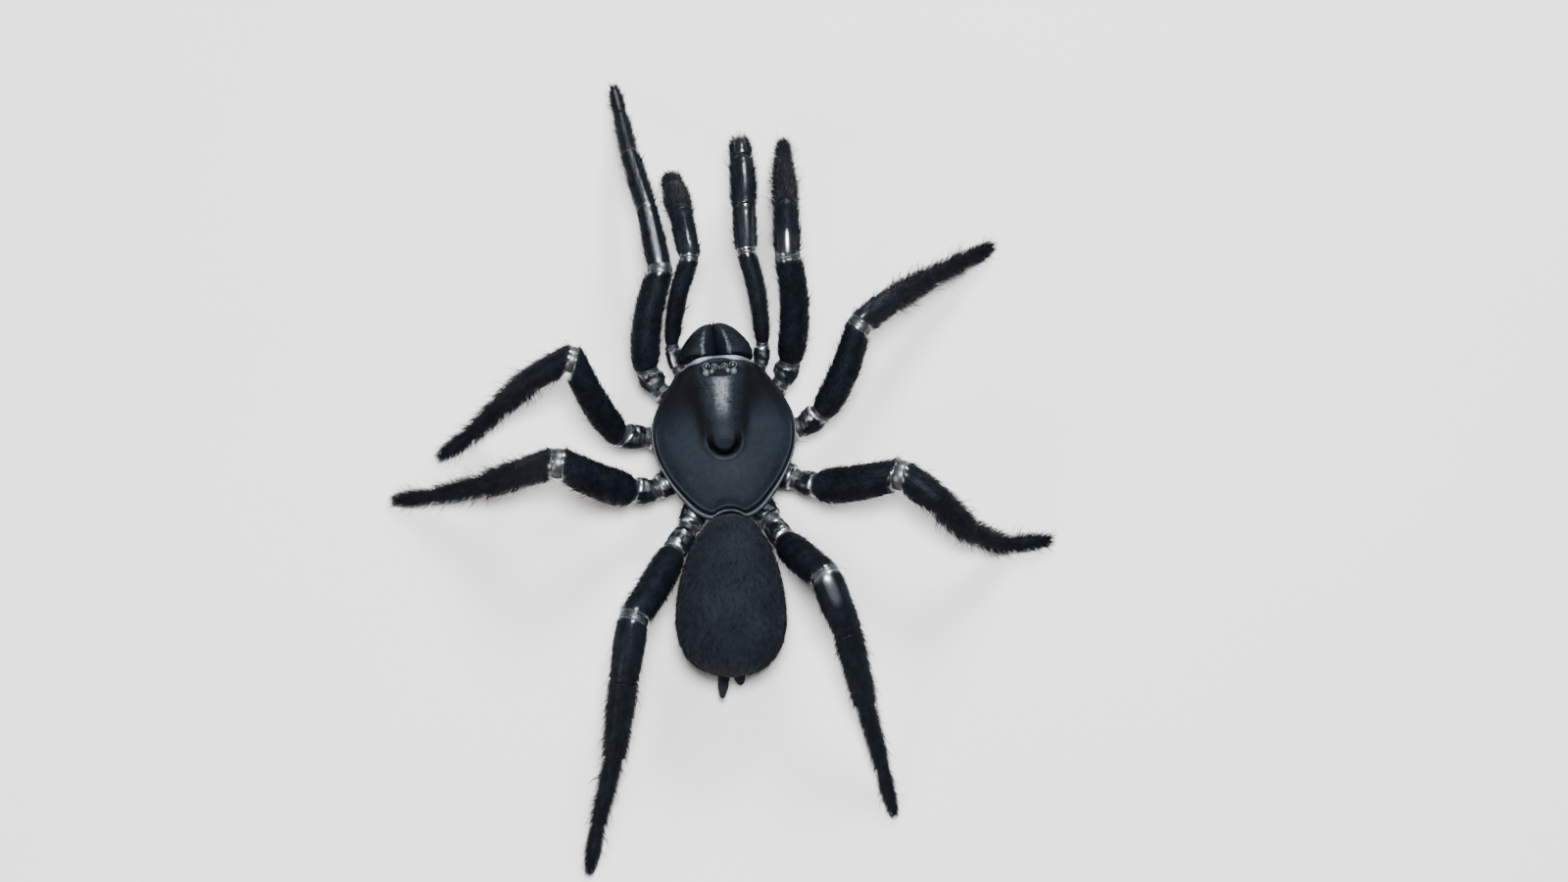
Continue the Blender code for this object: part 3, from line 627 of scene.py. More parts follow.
def joint_membrane(piece, before, after, finish):
    """The soft folded skin that bridges the gap between two shells."""
    turn = turns(LIMB_AROUND)
    inward = MEMBRANE_REACH / before.course.length
    outward = MEMBRANE_REACH / after.course.length
    first = before.course.surface(np.full_like(turn, before.end - inward), turn, MEMBRANE_SHARE)
    last = after.course.surface(np.full_like(turn, after.start + outward), turn, MEMBRANE_SHARE)
    step = np.linspace(0, 1, MEMBRANE_RINGS)
    far = step[:, None, None]
    folds = 1 + MEMBRANE_FOLD * np.cos(step * MEMBRANE_FOLDS * 2 * math.pi)
    rings = swollen(first * (1 - far) + last * far, folds)
    rings[..., 2] = np.maximum(rings[..., 2], FLOOR_CLEARANCE)
    piece.loft(rings, finish)


MEMBRANE_REACH = 0.14
MEMBRANE_SHARE = 0.87
MEMBRANE_RINGS = 17
MEMBRANE_FOLDS = 4
MEMBRANE_FOLD = 0.018


def limb_segments(nodes, kinds, knee_gap=0.0):
    """The segments of a limb from its coxa out, each measured on its CAD node."""
    segments = []
    near = MIDDLE + np.array((0, 0, 2.0))
    for node, parts in zip(nodes, kinds):
        course = Course.measured(node, near)
        near = course.line[-1]
        for kind, start, end in parts:
            segments.append(Segment(kind, course, start, end, knee_gap))
    return segments


def leg_segments(number, side):
    name = f"leg_{number}_{SIDE_NAMES[side]}_"
    hip = TROCHANTER_FROM[number]
    wrist = TARSUS_FROM[number]
    kinds = (
        (("coxa", 0.0, hip), ("trochanter", hip, 1.0)),
        (("femur", 0.0, 1.0),),
        (("patella", 0.0, 1.0),),
        (("tibia", 0.0, 1.0),),
        (("metatarsus", 0.0, wrist), ("tarsus", wrist, 1.0)),
    )
    nodes = [name + part for part in ("coxa", "femur", "patella", "tibia", "foot")]
    segments = limb_segments(nodes, kinds, KNEE_GAP[side][number - 1])
    femur, patella, *outer = segments[2:]
    femur.gloss = 0.0
    patella.gloss = KNEE_GLOSS[side][number - 1]
    for segment in outer:
        segment.gloss = LEG_GLOSS[side][number - 1]
    for segment in (patella, *outer):
        segment.fur = LEG_FUR[side][number - 1]
    if side == RIGHT and number in (1, 4):
        patella.fade = 1.0
    if side == RIGHT and number == 4:
        patella.finish = POLISHED
    if side == LEFT and number == 1:
        for segment in (patella, *outer):
            segment.finish = POLISHED
            segment.slim = LEG_1_LEFT_SLIM
        outer[-1].gloss = LEG_1_LEFT_TIP_GLOSS
    return nodes, segments


def palp_segments(side):
    """A palp's segments. Its last solid carries the bulb, so that course is drawn from named sizes."""
    name = f"palp_{SIDE_NAMES[side]}_"
    hip = TROCHANTER_FROM["palp"]
    kinds = (
        (("coxa", 0.0, hip), ("trochanter", hip, 1.0)),
        (("femur", 0.0, 1.0),),
        (("patella", 0.0, 1.0),),
    )
    nodes = [name + part for part in ("coxa", "femur", "patella", "tibia")]
    segments = limb_segments(nodes[:3], kinds)
    knee = segments[-1].course
    start = knee.line[-1] + knee.far_way * 0.3
    tibia_way, tarsus_way = (direction(side, *turn) for turn in PALP_TIP_TURNS[side])
    wrist = start + tibia_way * PALP_TIP_LENGTHS[0]
    tip = wrist + tarsus_way * PALP_TIP_LENGTHS[1]
    shares = np.array((0, 0.2, 0.4, 0.6, 0.7, 0.8, 0.92, 1.0))
    line = [start + (tip - start) * share for share in shares]
    bend = wrist - (start + (tip - start) * PALP_TARSUS_FROM)
    line = [place + bend * math.sin(math.pi * share) for place, share in zip(line, shares)]
    widths = np.array(PALP_TIP_HALF_WIDTHS)
    course = Course(line, widths, widths * 1.04, shares, knee.far_way, tarsus_way)
    segments.append(Segment("tibia", course, 0.0, PALP_TARSUS_FROM))
    segments.append(Segment("tarsus", course, PALP_TARSUS_FROM, 1.0))
    for segment, gloss in zip(segments[3:], PALP_GLOSS[side]):
        segment.gloss = gloss
    segments[3].fade = PALP_FADE[side]
    return nodes, segments, wrist, tip


def build_limb(piece, segments):
    for segment in segments:
        segment.build(piece)
    for before, after in zip(segments, segments[1:]):
        if before.kind == "femur":
            knee(piece, before, after)
        else:
            joint_membrane(piece, before, after, SHELL if after.kind == "tarsus" else SKIN)


SHELL, SKIN, KNEE, HIP, POLISHED, BULB = range(6)
# How polished the patella and the segments beyond it are, for legs 1 to 4
KNEE_GLOSS = {LEFT: (2.2, 0.3, 0.6, 0.6), RIGHT: (2.4, 0.9, 0.35, 2.4)}
PALP_GLOSS = {LEFT: (1.2, 1.2, 1.2), RIGHT: (2.2, 2.2, 7.0)}
PALP_FADE = {LEFT: 0.6, RIGHT: 0.0}
LEG_1_LEFT_SLIM = 0.88
LEG_1_LEFT_TIP_GLOSS = 9.0
KNEE_GAP = {LEFT: (0.0, 0.1, 0.2, 0.1), RIGHT: (0.02, 0.12, 0.17, 0.04)}
LEG_FUR = {LEFT: (0.9, 1.2, 1.25, 0.95), RIGHT: (1.2, 1.2, 1.25, 0.9)}
LEG_GLOSS = {LEFT: (3.4, 0.5, 0.5, 0.9), RIGHT: (0.3, 1.0, 0.9, 1.2)}


def claws(piece, segment):
    """The two main claws and the small middle one at the tip of a foot."""
    course = segment.course
    tip = course.line[-1]
    ahead = unit(course.along * np.array((1, 1, 0)))
    for spread, length, thickness in ((-0.12, 0.3, 0.04), (0.12, 0.3, 0.04), (0.0, 0.16, 0.03)):
        out = ahead + course.across * spread
        root = tip + course.across * spread * 0.8 - ahead * 0.12 + UP * 0.04
        points = [
            root,
            root + out * length * 0.4 + UP * 0.07,
            root + out * length * 0.8 + UP * 0.01,
            root + out * length - UP * 0.12,
        ]
        radii = (thickness, thickness * 0.9, thickness * 0.6, thickness * 0.12)
        rings = path_rings(points, radii, 10, 8)
        rings[..., 2] = np.maximum(rings[..., 2], FLOOR_CLEARANCE)
        piece.loft(rings, SHELL, bare=1.0)


class Shade:
    """A shader socket that can be used in sums: each operation adds its Math node."""

    def __init__(self, tree, socket):
        self.tree = tree
        self.socket = socket

    def math(self, operation, first, second):
        node = self.tree.nodes.new("ShaderNodeMath")
        node.operation = operation
        plug(self.tree, node.inputs[0], first)
        plug(self.tree, node.inputs[1], second)
        return Shade(self.tree, node.outputs[0])

    def __add__(self, other):
        return self.math("ADD", self, other)

    def __sub__(self, other):
        return self.math("SUBTRACT", self, other)

    def __rsub__(self, other):
        return self.math("SUBTRACT", other, self)

    def __mul__(self, other):
        return self.math("MULTIPLY", self, other)

    __radd__ = __add__
    __rmul__ = __mul__


def plug(tree, target, value):
    """Sets a socket to a value, or links it to a Shade."""
    if isinstance(value, Shade):
        tree.links.new(value.socket, target)
    else:
        target.default_value = value


class Finish:
    """One procedural material."""

    def __init__(self, name, **constants):
        self.material = bpy.data.materials.new(name)
        self.material.use_nodes = True
        self.tree = self.material.node_tree
        self.shader = self.tree.nodes["Principled BSDF"]
        for socket, value in constants.items():
            self.shader.inputs[socket.replace("_", " ").title().replace("Ior", "IOR")].default_value = value
        self.place = self.node("ShaderNodeTexCoord", output="Object")

    def node(self, kind, settings=(), inputs=(), output=0):
        node = self.tree.nodes.new(kind)
        for setting, value in dict(settings).items():
            setattr(node, setting, value)
        for socket, value in dict(inputs).items():
            plug(self.tree, node.inputs[socket], value)
        return Shade(self.tree, node.outputs[output])

    def grid(self, size, stretch=(1, 1, 1)):
        """The object's own coordinates in steps of size millimetres."""
        scale = Vector(stretch) / (size * MM)
        return self.node("ShaderNodeMapping", inputs={"Vector": self.place, "Scale": scale})

    def noise(self, size, detail=3.0, stretch=(1, 1, 1)):
        """Noise whose features are about size millimetres across."""
        inputs = {"Vector": self.grid(size, stretch), "Scale": 1.0, "Detail": detail, "Roughness": 0.55}
        return self.node("ShaderNodeTexNoise", inputs=inputs)

    def cells(self, size):
        inputs = {"Vector": self.grid(size), "Scale": 1.0}
        return self.node("ShaderNodeTexVoronoi", inputs=inputs, output="Distance")

    def mask(self, name):
        return self.node("ShaderNodeAttribute", {"attribute_name": name}, output="Fac")

    def ramp(self, value, low, high):
        """0 below low, 1 above high and smooth between."""
        return self.node(
            "ShaderNodeMapRange",
            {"interpolation_type": "SMOOTHSTEP"},
            {"Value": value, "From Min": low, "From Max": high},
        )

    def blend(self, share, first, second):
        node = self.tree.nodes.new("ShaderNodeMix")
        node.data_type = "RGBA"
        plug(self.tree, node.inputs[0], share)
        for socket, colour in ((node.inputs[6], first), (node.inputs[7], second)):
            plug(self.tree, socket, colour if isinstance(colour, Shade) else (*colour, 1.0))
        return Shade(self.tree, node.outputs[2])

    def colour(self, shade):
        plug(self.tree, self.shader.inputs["Base Color"], shade)

    def roughness(self, shade):
        plug(self.tree, self.shader.inputs["Roughness"], shade)

    def coat(self, shade):
        plug(self.tree, self.shader.inputs["Coat Weight"], shade)

    def relief(self, height, depth):
        """Bump of a height from 0 to 1 over depth millimetres."""
        inputs = {"Height": height, "Distance": depth * MM, "Strength": 1.0}
        bump = self.node("ShaderNodeBump", inputs=inputs)
        plug(self.tree, self.shader.inputs["Normal"], bump)


def scaled(colour, share):
    return tuple(channel * share for channel in colour)


def leg_finish(settings, name="leg_cuticle_black", softness=0.2, ior=1.8, lump=0.3, lift=1.8, facets=False):
    """Black, finely grained cuticle, polished where it is bare. Where the pale mask is set it takes the
    stripe colour: painted highlights on rims, backs and eye sockets, and the chelicera stripes.
    """
    black = tuple(settings.cuticle_colour)
    finish = Finish(name, specular_ior_level=0.05, coat_roughness=softness, coat_ior=ior)
    bare = finish.mask("bare")
    pale = finish.mask("pale")
    cloud = finish.noise(0.9, 2.0)
    grain = finish.noise(0.045, 2.0)
    pores = finish.cells(0.1)
    skin = finish.blend(finish.ramp(cloud, 0.3, 0.75), scaled(black, 0.7), scaled(black, 1.7))
    # The pale mask paints the stripe colour in mottled patches; on the limbs and eye sockets these are
    # painted highlights.
    mottled = finish.ramp(pale + (finish.noise(0.11, 3.0) - 0.5) * 1.3, 0.25, 0.95)
    mottled = mottled * finish.ramp(pale, 0.0, 0.2)
    finish.colour(finish.blend(mottled, skin, tuple(settings.stripe_and_highlight_colour)))
    finish.roughness(0.56 - bare * 0.2 + (grain - 0.5) * 0.12)
    coat = finish.ramp(bare, 0.15, 0.95)
    if facets:
        coat = coat * (finish.ramp(finish.noise(0.5, 1.0), 0.42, 0.53) * 0.98 + 0.02)
    finish.coat(coat)
    lumps = finish.noise(lump, 2.0)
    finish.relief((grain * 0.6 + pores * 0.6) * (1.15 - bare) + lumps * bare * lift, 0.009)
    return finish.material


def limb_finishes(settings):
    """Shell, joint skin, knee skin and the glossier shell next to the body."""
    return [
        leg_finish(settings),
        membrane_finish(tuple(settings.membrane_colour)),
        knee_finish(tuple(settings.knee_colour)),
        leg_finish(settings, "hip_cuticle_glossy", 0.3, 3.2, 0.5, 6.0, facets=True),
        leg_finish(settings, "leg_cuticle_polished", 0.3, 2.8, 0.6, 1.2),
    ]


def carapace_finish(settings):
    """Satin blue-black cuticle with fine granules, pale along the front lip, with painted highlights and
    painted shade from the pale mask.
    """
    dark = tuple(settings.colour)
    finish = Finish("carapace_cuticle_satin", specular_ior_level=0.055, coat_roughness=0.42, coat_ior=1.5)
    finish.shader.inputs["Coat Tint"].default_value = (0.8, 0.93, 1.0, 1.0)
    bare = finish.mask("bare")
    tone = finish.mask("pale")
    # pale paints the lip colour, partly as a painted reflection and for the painted highlights; shade, from
    # the mask's negative side, is painted shade.
    pale = finish.ramp(tone, 0.0, 1.0)
    shade = finish.ramp(tone, 0.0, -1.0)
    cloud = finish.noise(1.6, 3.0)
    grain = finish.noise(0.04, 2.0)
    granules = finish.cells(settings.granule_size / MM)
    patchy = cloud * 0.6 + finish.noise(0.35, 2.0) * 0.4
    patchy_tone_and_painted_shade = finish.blend(finish.ramp(patchy, 0.35, 0.65), scaled(dark, 0.7), scaled(dark, 1.3))
    patchy_tone_and_painted_shade = finish.blend(finish.ramp(granules, 0.4, 0.05), patchy_tone_and_painted_shade, scaled(dark, 1.6))
    # Painted shade: near black in the fovea, the margin's groove, on the caput's flanks and at the front
    # corners.
    patchy_tone_and_painted_shade = finish.blend(shade, patchy_tone_and_painted_shade, (0.0012, 0.0013, 0.0018))
    mottling = finish.noise(0.13, 3.0) * 0.9 + 0.5
    finish.colour(finish.blend(pale * mottling, patchy_tone_and_painted_shade, tuple(settings.lip_and_highlight_colour)))
    finish.roughness(0.66 + (cloud - 0.5) * 0.1 + (grain - 0.5) * 0.1)
    worn_bare = bare * finish.ramp(finish.noise(0.16, 3.0) * 0.65 + finish.noise(0.8, 2.0) * 0.35, 0.3, 0.62)
    finish.coat(worn_bare * 0.6 + 0.01)
    finish.relief((1 - granules) * (1.05 - bare * 0.4) + grain * 0.6, settings.granule_relief / MM)
    return finish.material


def membrane_finish(colour):
    """Soft skin between the shells."""
    finish = Finish("joint_membrane", specular_ior_level=0.3)
    folds = finish.noise(0.1, 3.0)
    finish.colour(finish.blend(folds, scaled(colour, 0.55), scaled(colour, 1.3)))
    finish.roughness(0.3 + folds * 0.25)
    finish.relief(folds, 0.02)
    return finish.material


def knee_finish(colour):
    """The glossy grey skin stretched over a knee, painted darker on its lower half as painted shade."""
    finish = Finish("knee_skin", specular_ior_level=0.05, coat_roughness=0.36, coat_ior=1.8)
    bare = finish.mask("bare")
    finish.coat(bare * 0.75)
    folds = finish.noise(0.2, 3.0, stretch=(1, 1, 0.5))
    tone = finish.ramp(folds, 0.35, 0.65)
    skin = finish.blend(tone, scaled(colour, 0.25), scaled(colour, 1.2))
    # Painted shade: the lower half of the knee, where bare is 0, is painted darker.
    finish.colour(finish.blend(bare, scaled(colour, 0.2), skin))
    finish.roughness(0.5 + folds * 0.2)
    finish.relief(folds, 0.015)
    return finish.material


def velvet_finish(settings):
    """Matt charcoal skin with a fine grain along the body."""
    charcoal = tuple(settings.colour)
    finish = Finish("abdomen_skin", sheen_weight=0.02, sheen_roughness=0.4, specular_ior_level=0.06)
    cloud = finish.noise(1.8, 3.0)
    grain = finish.noise(0.07, 3.0, stretch=(1, 0.25, 1))
    tone = finish.ramp(cloud * 0.6 + grain * 0.4, 0.3, 0.7)
    finish.colour(finish.blend(tone, scaled(charcoal, 0.7), scaled(charcoal, 1.3)))
    finish.roughness(0.9 + (grain - 0.5) * 0.2)
    finish.relief(grain, 0.035)
    return finish.material


def fang_finish():
    finish = Finish("fang_horn", ior=1.55)
    bare = finish.mask("bare")
    streak = finish.noise(0.2, 3.0, stretch=(1, 0.2, 1))
    finish.colour(finish.blend(bare, (0.005, 0.004, 0.004), (0.014, 0.006, 0.005)))
    finish.roughness(0.2 + streak * 0.12)
    finish.relief(streak, 0.01)
    return finish.material


def ventral_finish():
    finish = Finish("ventral_plate", ior=1.5)
    pale = finish.mask("pale")
    cloud = finish.noise(0.7, 3.0)
    grain = finish.noise(0.06, 2.0)
    brown = finish.blend(cloud, (0.007, 0.0065, 0.007), (0.018, 0.015, 0.014))
    finish.colour(finish.blend(pale, brown, (0.06, 0.05, 0.045)))
    finish.roughness(0.36 + grain * 0.16)
    finish.relief(grain, 0.012)
    return finish.material


def lens_finish(name, colour, tint):
    finish = Finish(name, specular_ior_level=0.2, coat_weight=0.35, coat_roughness=0.16)
    ring = finish.noise(0.12, 2.0)
    finish.colour(finish.blend(ring, colour, tint))
    finish.roughness(0.2 + ring * 0.1)
    return finish.material


def hair_finish(name, colour, gloss, dullness=0.55):
    finish = Finish(name, specular_ior_level=gloss)
    tone = finish.noise(0.25, 2.0)
    finish.colour(finish.blend(finish.ramp(tone, 0.35, 0.7), scaled(colour, 0.6), scaled(colour, 1.5)))
    finish.roughness(dullness + tone * 0.2)
    return finish.material


def base_height(x, y, inside):
    """Height of the carapace without its caput: a low dome whose margin rises to the front."""
    lift = FRONT_LIFT * ease((FRONT_LIFT_Y - y) / FRONT_LIFT_LENGTH)
    lift = lift * (1 - CORNER_DROP * ease((np.abs(x) - 1.0) / 1.2))
    wide, long = np.abs(x) / THORAX_HALF[0], np.abs(y + 0.05) / THORAX_HALF[1]
    middle = np.minimum((wide**2.2 + long**2.2) ** (1 / 2.2), 1)
    return MARGIN_HEIGHT + lift + THORAX_RISE * (1 - middle**THORAX_FULLNESS) * ease(0.3 + inside / 1.1)


def caput_half(y):
    """Half width of the caput, which narrows to the rear."""
    forward = np.clip((CAPUT_REAR_Y - y) / (CAPUT_REAR_Y - CAPUT_FRONT_Y), 0, 1)
    return CAPUT_REAR_HALF + forward * (CAPUT_FRONT_HALF - CAPUT_REAR_HALF)


def eye_patch_share(x, y):
    """0 in the middle of the eye patch and 1 on its edge."""
    across, along = (x - EYE_PATCH[0]) / EYE_PATCH_HALF[0], (y - EYE_PATCH[1]) / EYE_PATCH_HALF[1]
    return np.hypot(across, along)


def carapace_height(x, y, share, radius):
    """Height of the carapace's upper surface, about its own middle.

    share runs from its middle to its margin, and radius is the margin's distance along the way.
    """
    inside = (1 - share) * radius
    base = base_height(x, y, inside)
    arch = hump((np.abs(x) / caput_half(y)) ** CAPUT_ROUNDNESS, 0.85)
    crest = np.interp(y, CREST_Y, CREST_HEIGHT)
    height = base + (crest - base) * arch * ease(inside / 0.5) * ease((1.15 - y) / 0.9)
    height = height + fovea_relief(x, y) + rim_relief(x, y, inside)
    height = height + 0.07 * hump(eye_patch_share(x, y), 0.95)
    for bearing in RADIAL_FURROWS:
        across = np.abs(x) * math.cos(bearing) + (y - 0.4) * math.sin(bearing)
        out = np.abs(x) * math.sin(bearing) - (y - 0.4) * math.cos(bearing)
        height = height - 0.01 * hump(across, 0.22) * ease((out - 1.0) / 0.8) * ease((inside - 0.5) / 0.7)
    return height


def fovea_offset(x, y):
    """Signed distance from the middle of the U-shaped groove, and how far it has faded."""
    behind = y - FOVEA_Y
    bowl = np.hypot(x / FOVEA_HALF, behind / FOVEA_LENGTH) - 1
    curved = bowl * (FOVEA_HALF + FOVEA_LENGTH) / 2
    straight = np.abs(x) - FOVEA_HALF - 0.14 * np.clip(-behind, 0, 2)
    offset = np.where(behind > 0, curved, straight)
    return offset, ease(1 - np.clip(-behind, 0, None) / 1.5), ease((behind + 0.25) / 0.7)


def fovea_relief(x, y):
    """The deep U-shaped groove behind the caput, with a raised lip behind it."""
    offset, fade, rearward = fovea_offset(x, y)
    groove = (0.06 + 0.6 * rearward) * (1 - ease((np.abs(offset) - 0.03) / (0.22 - 0.06 * rearward)))
    lip = 0.045 * hump(offset - 0.31, 0.12) * rearward
    return lip - groove * fade


def rim_relief(x, y, inside):
    """The rolled bead on the margin, the groove inside it and a second low fold."""
    rear = ease((y - 1.9) / 1.7)
    side = ease((y + 1.6) / 2.6)
    middle = -0.1 * hump(x, 0.6) * rear
    bead = (0.03 + 0.06 * rear) * hump(inside - 0.05 - 0.05 * rear, 0.05 + 0.05 * rear)
    groove = (0.07 * side + 0.1 * rear) * hump(inside - 0.16 - 0.11 * rear - middle, 0.04 + 0.02 * rear)
    fold = (0.025 * side + 0.03 * rear) * hump(inside - 0.27 - 0.12 * rear - middle, 0.05)
    return bead - groove + fold


def plate_rings(half, rear, middle_y, around, levels):
    """Rings on a mirrored outline: (share, height) each, where either may be a function."""
    outline = smooth_path(mirrored_loop(half, rear), around, closed=True)
    middle = np.array((0.0, middle_y))
    reach = np.linalg.norm(outline - middle, axis=1)
    rings = []
    for share, level in levels:
        share = share(reach) if callable(share) else np.full(around, float(share))
        place = middle + (outline - middle) * share[:, None]
        height = level(place[:, 0], place[:, 1], share, reach) if callable(level) else level
        rings.append(np.column_stack([place, np.broadcast_to(height, around)]))
    return np.array(rings)


def carapace_rings():
    def margin(drop):
        return lambda x, y, share, reach: carapace_height(x, y, share, reach) - drop

    def inset(distance, inward=0.0):
        return lambda reach: (1 - distance / reach) * (1 - inward) + 0.004 * inward

    levels = [(0.86, UNDERSIDE + 0.12), (0.95, UNDERSIDE + 0.02), (0.985, UNDERSIDE)]
    levels += [(0.998, UNDERSIDE + 0.05)]
    levels += [(1.0, lambda x, y, share, reach: (carapace_height(x, y, share, reach) + UNDERSIDE) / 2)]
    levels += [(1.0, margin(0.2)), (1.0, margin(0.08)), (inset(0.007), margin(0.04))]
    levels += [(inset(0.02), margin(0.012))]
    levels += [(inset(distance), carapace_height) for distance in np.linspace(0.035, RIM_ZONE, RIM_RINGS)]
    inward = np.linspace(0, 1, CARAPACE_RINGS)[1:]
    levels += [(inset(RIM_ZONE, share), carapace_height) for share in inward]
    return plate_rings(OUTLINE_HALF, REAR_NOTCH, CARAPACE_MIDDLE_Y, CARAPACE_AROUND, levels)


def carapace_top(x, y):
    """Height of the caput's skin at a place well inside the margin."""
    way = CARAPACE_OUTLINE - CARAPACE_MIDDLE
    bearing = np.arctan2(*way.T)
    order = np.argsort(bearing)
    reach = np.linalg.norm(way, axis=1)
    own = np.arctan2(x, y - CARAPACE_MIDDLE_Y)
    radius = np.interp(own, bearing[order], reach[order], period=2 * math.pi)
    share = np.hypot(x, y - CARAPACE_MIDDLE_Y) / radius
    return carapace_height(x, y, share, radius)


def colour_setting(name, description, default):
    return bpy.props.FloatVectorProperty(
        name=name, description=description, subtype="COLOR", default=default, min=0.0, max=1.0
    )


def length_setting(name, description, default, low, high):
    """A length whose default and limits are given in millimetres."""
    return bpy.props.FloatProperty(
        name=name,
        description=description,
        default=default * MM,
        min=low * MM,
        max=high * MM,
        precision=5,
        subtype="DISTANCE",
        unit="LENGTH",
    )


def count_setting(name, description, default, high):
    return bpy.props.IntProperty(name=name, description=description, default=default, min=100, max=high)


class CarapaceSettings(bpy.types.PropertyGroup):
    colour: colour_setting("Colour", "Base colour of the carapace", (0.0046, 0.0061, 0.0087))
    # The lip colour paints the pale lip, which is partly a painted reflection, and the painted highlights on
    # the margin, behind the fovea and between the eyes.
    lip_and_highlight_colour: colour_setting(
        "Lip colour", "Colour of the pale lip above the chelicerae", (0.24, 0.25, 0.262)
    )
    granule_size: length_setting("Granule size", "Distance between the fine granules", 0.1, 0.02, 1.0)
    granule_relief: length_setting("Granule relief", "How far the granules stand up", 0.006, 0.0, 0.2)


class LimbSettings(bpy.types.PropertyGroup):
    cuticle_colour: colour_setting(
        "Cuticle", "Base colour of legs, palps and chelicerae", (0.0025, 0.0032, 0.0048)
    )
    membrane_colour: colour_setting(
        "Membrane", "Colour of the soft skin in the joints", (0.01, 0.01, 0.011)
    )
    knee_colour: colour_setting("Knee", "Colour of the skin over the knees", (0.0095, 0.01, 0.0115))
    # The stripe colour paints the chelicera stripes and also the painted highlight arcs, pale tops and eye
    # socket rims.
    stripe_and_highlight_colour: colour_setting(
        "Stripe", "Colour of the bare stripe along each chelicera", (0.072, 0.077, 0.084)
    )


class AbdomenSettings(bpy.types.PropertyGroup):
    colour: colour_setting("Colour", "Base colour of the abdomen's skin", (0.0062, 0.0072, 0.0095))


class CoatSettings(bpy.types.PropertyGroup):
    colour: colour_setting("Hair", "Colour of the hair", (0.0042, 0.005, 0.0068))
    abdomen_hairs: count_setting("Abdomen hairs", "Number of hairs on the abdomen", 17000, 19000)
    leg_hairs: count_setting("Leg hairs", "Number of hairs on one leg", 8000, 18000)
    length: length_setting("Hair length", "Length of an ordinary leg hair", 0.34, 0.05, 1.0)


class StageSettings(bpy.types.PropertyGroup):
    floor_colour: colour_setting("Floor", "Colour of the plain floor", (0.6, 0.56, 0.52))
    key_power: bpy.props.FloatProperty(
        name="Key light",
        description="Power of the soft light overhead",
        default=1.35,
        min=0.0,
        unit="POWER",
    )
    lens: bpy.props.FloatProperty(
        name="Lens",
        description="Focal length of the camera in millimetres",
        default=90.0,
        min=10.0,
    )


class SPIDER_OT_carapace(bpy.types.Operator):
    """Builds the carapace with its caput, fovea and rolled margin."""

    bl_idname = "spider.carapace"
    bl_label = "Carapace"

    def execute(self, context):
        piece = Piece()
        rings = carapace_rings()
        x, y = rings[..., 0], rings[..., 1]
        edge = np.linalg.norm(rings[..., :2] - rings[4, :, :2], axis=-1)
        across = np.abs(x)
        # The pale lip along the front margin is partly a pale edge and partly a painted reflection; shine
        # adds painted highlight blotches near |x| = 0.75.
        lip_across = np.abs(x - 0.12)
        width = 0.15 + 0.19 * hump(lip_across - 0.95, 0.45) - 0.26 * ease((lip_across - 1.7) / 0.65)
        level = np.arange(len(rings))[:, None]
        ahead = ease((-y - 2.9) / 0.35) * (level >= LIP_LEVEL)
        shine = 0.3 + 0.7 * hump(lip_across - 0.75, 0.33)
        lip = ahead * ease((width - edge) / 0.05 + 0.5) * shine
        # groove paints shade into the fovea, and the arc paints a highlight on the fovea's rear lip.
        offset, fade, rearward = fovea_offset(x, y)
        groove = (1 - ease((np.abs(offset) - 0.07) / 0.13)) * fade * (0.25 + 0.75 * rearward)
        arc = 0.12 * hump(offset - 0.32, 0.07) * rearward * ease((0.75 - across) / 0.3)
        patch = 1 - ease((eye_patch_share(x, y) - 0.85) / 0.3)
        # between paints a highlight on the glossy cuticle between the front middle eyes; patch is the black
        # pigment round the eyes.
        between = 0.5 * hump(np.hypot(x / 0.14, (y + 3.32) / 0.18), 0.95)
        rear = ease((y - 1.6) / 1.6)
        side = ease((y + 2.2) / 2.0) * (1 - 0.3 * rear)
        middle = -0.1 * hump(x, 0.6) * rear
        # rim and second paint highlights on the margin's bead and its low inner fold, and trench paints
        # shade into the groove between them.
        rim = hump(edge - 0.04 - 0.06 * rear, 0.035 + 0.05 * rear) * side * 0.42 * (level >= LIP_LEVEL)
        trench_shade = hump(edge - 0.15 - 0.12 * rear - middle, 0.04 + 0.01 * rear) * side * 0.95
        second = hump(edge - 0.25 - 0.13 * rear - middle, 0.035) * side * 0.16
        # flank and corner paint shade on the caput's steep sides and on the carapace's front corners.
        flank = 0.85 * hump(across - 0.92 * caput_half(y), 0.38) * ease((0.6 - y) / 0.7)
        corner = 0.8 * ease((0.1 - y) / 2.4) * ease((across - 0.9) / 0.6)
        # dark gathers the painted shade and the eye patch's pigment, and tone gathers the lip and the
        # painted highlights; dark is stored as negative pale.
        dark = np.maximum.reduce([groove, patch * 0.95, trench_shade, flank, corner])
        tone = np.maximum.reduce([lip, rim, second, arc, between])
        caput = hump(x, 0.75 + 0.12 * np.clip(-y, 0, 3)) * ease((0.75 - y) / 0.8) * (1 - patch)
        caput = caput * (0.05 + 0.95 * ease((-0.6 - y) / 1.3))
        piece.loft(rings + MIDDLE, bare=caput, pale=np.where(tone > dark * 0.35, tone, -dark))
        finish = carapace_finish(context.scene.spider_carapace)
        piece.done("carapace_shell", [finish], "carapace_cuticle", ["carapace"])
        return {"FINISHED"}


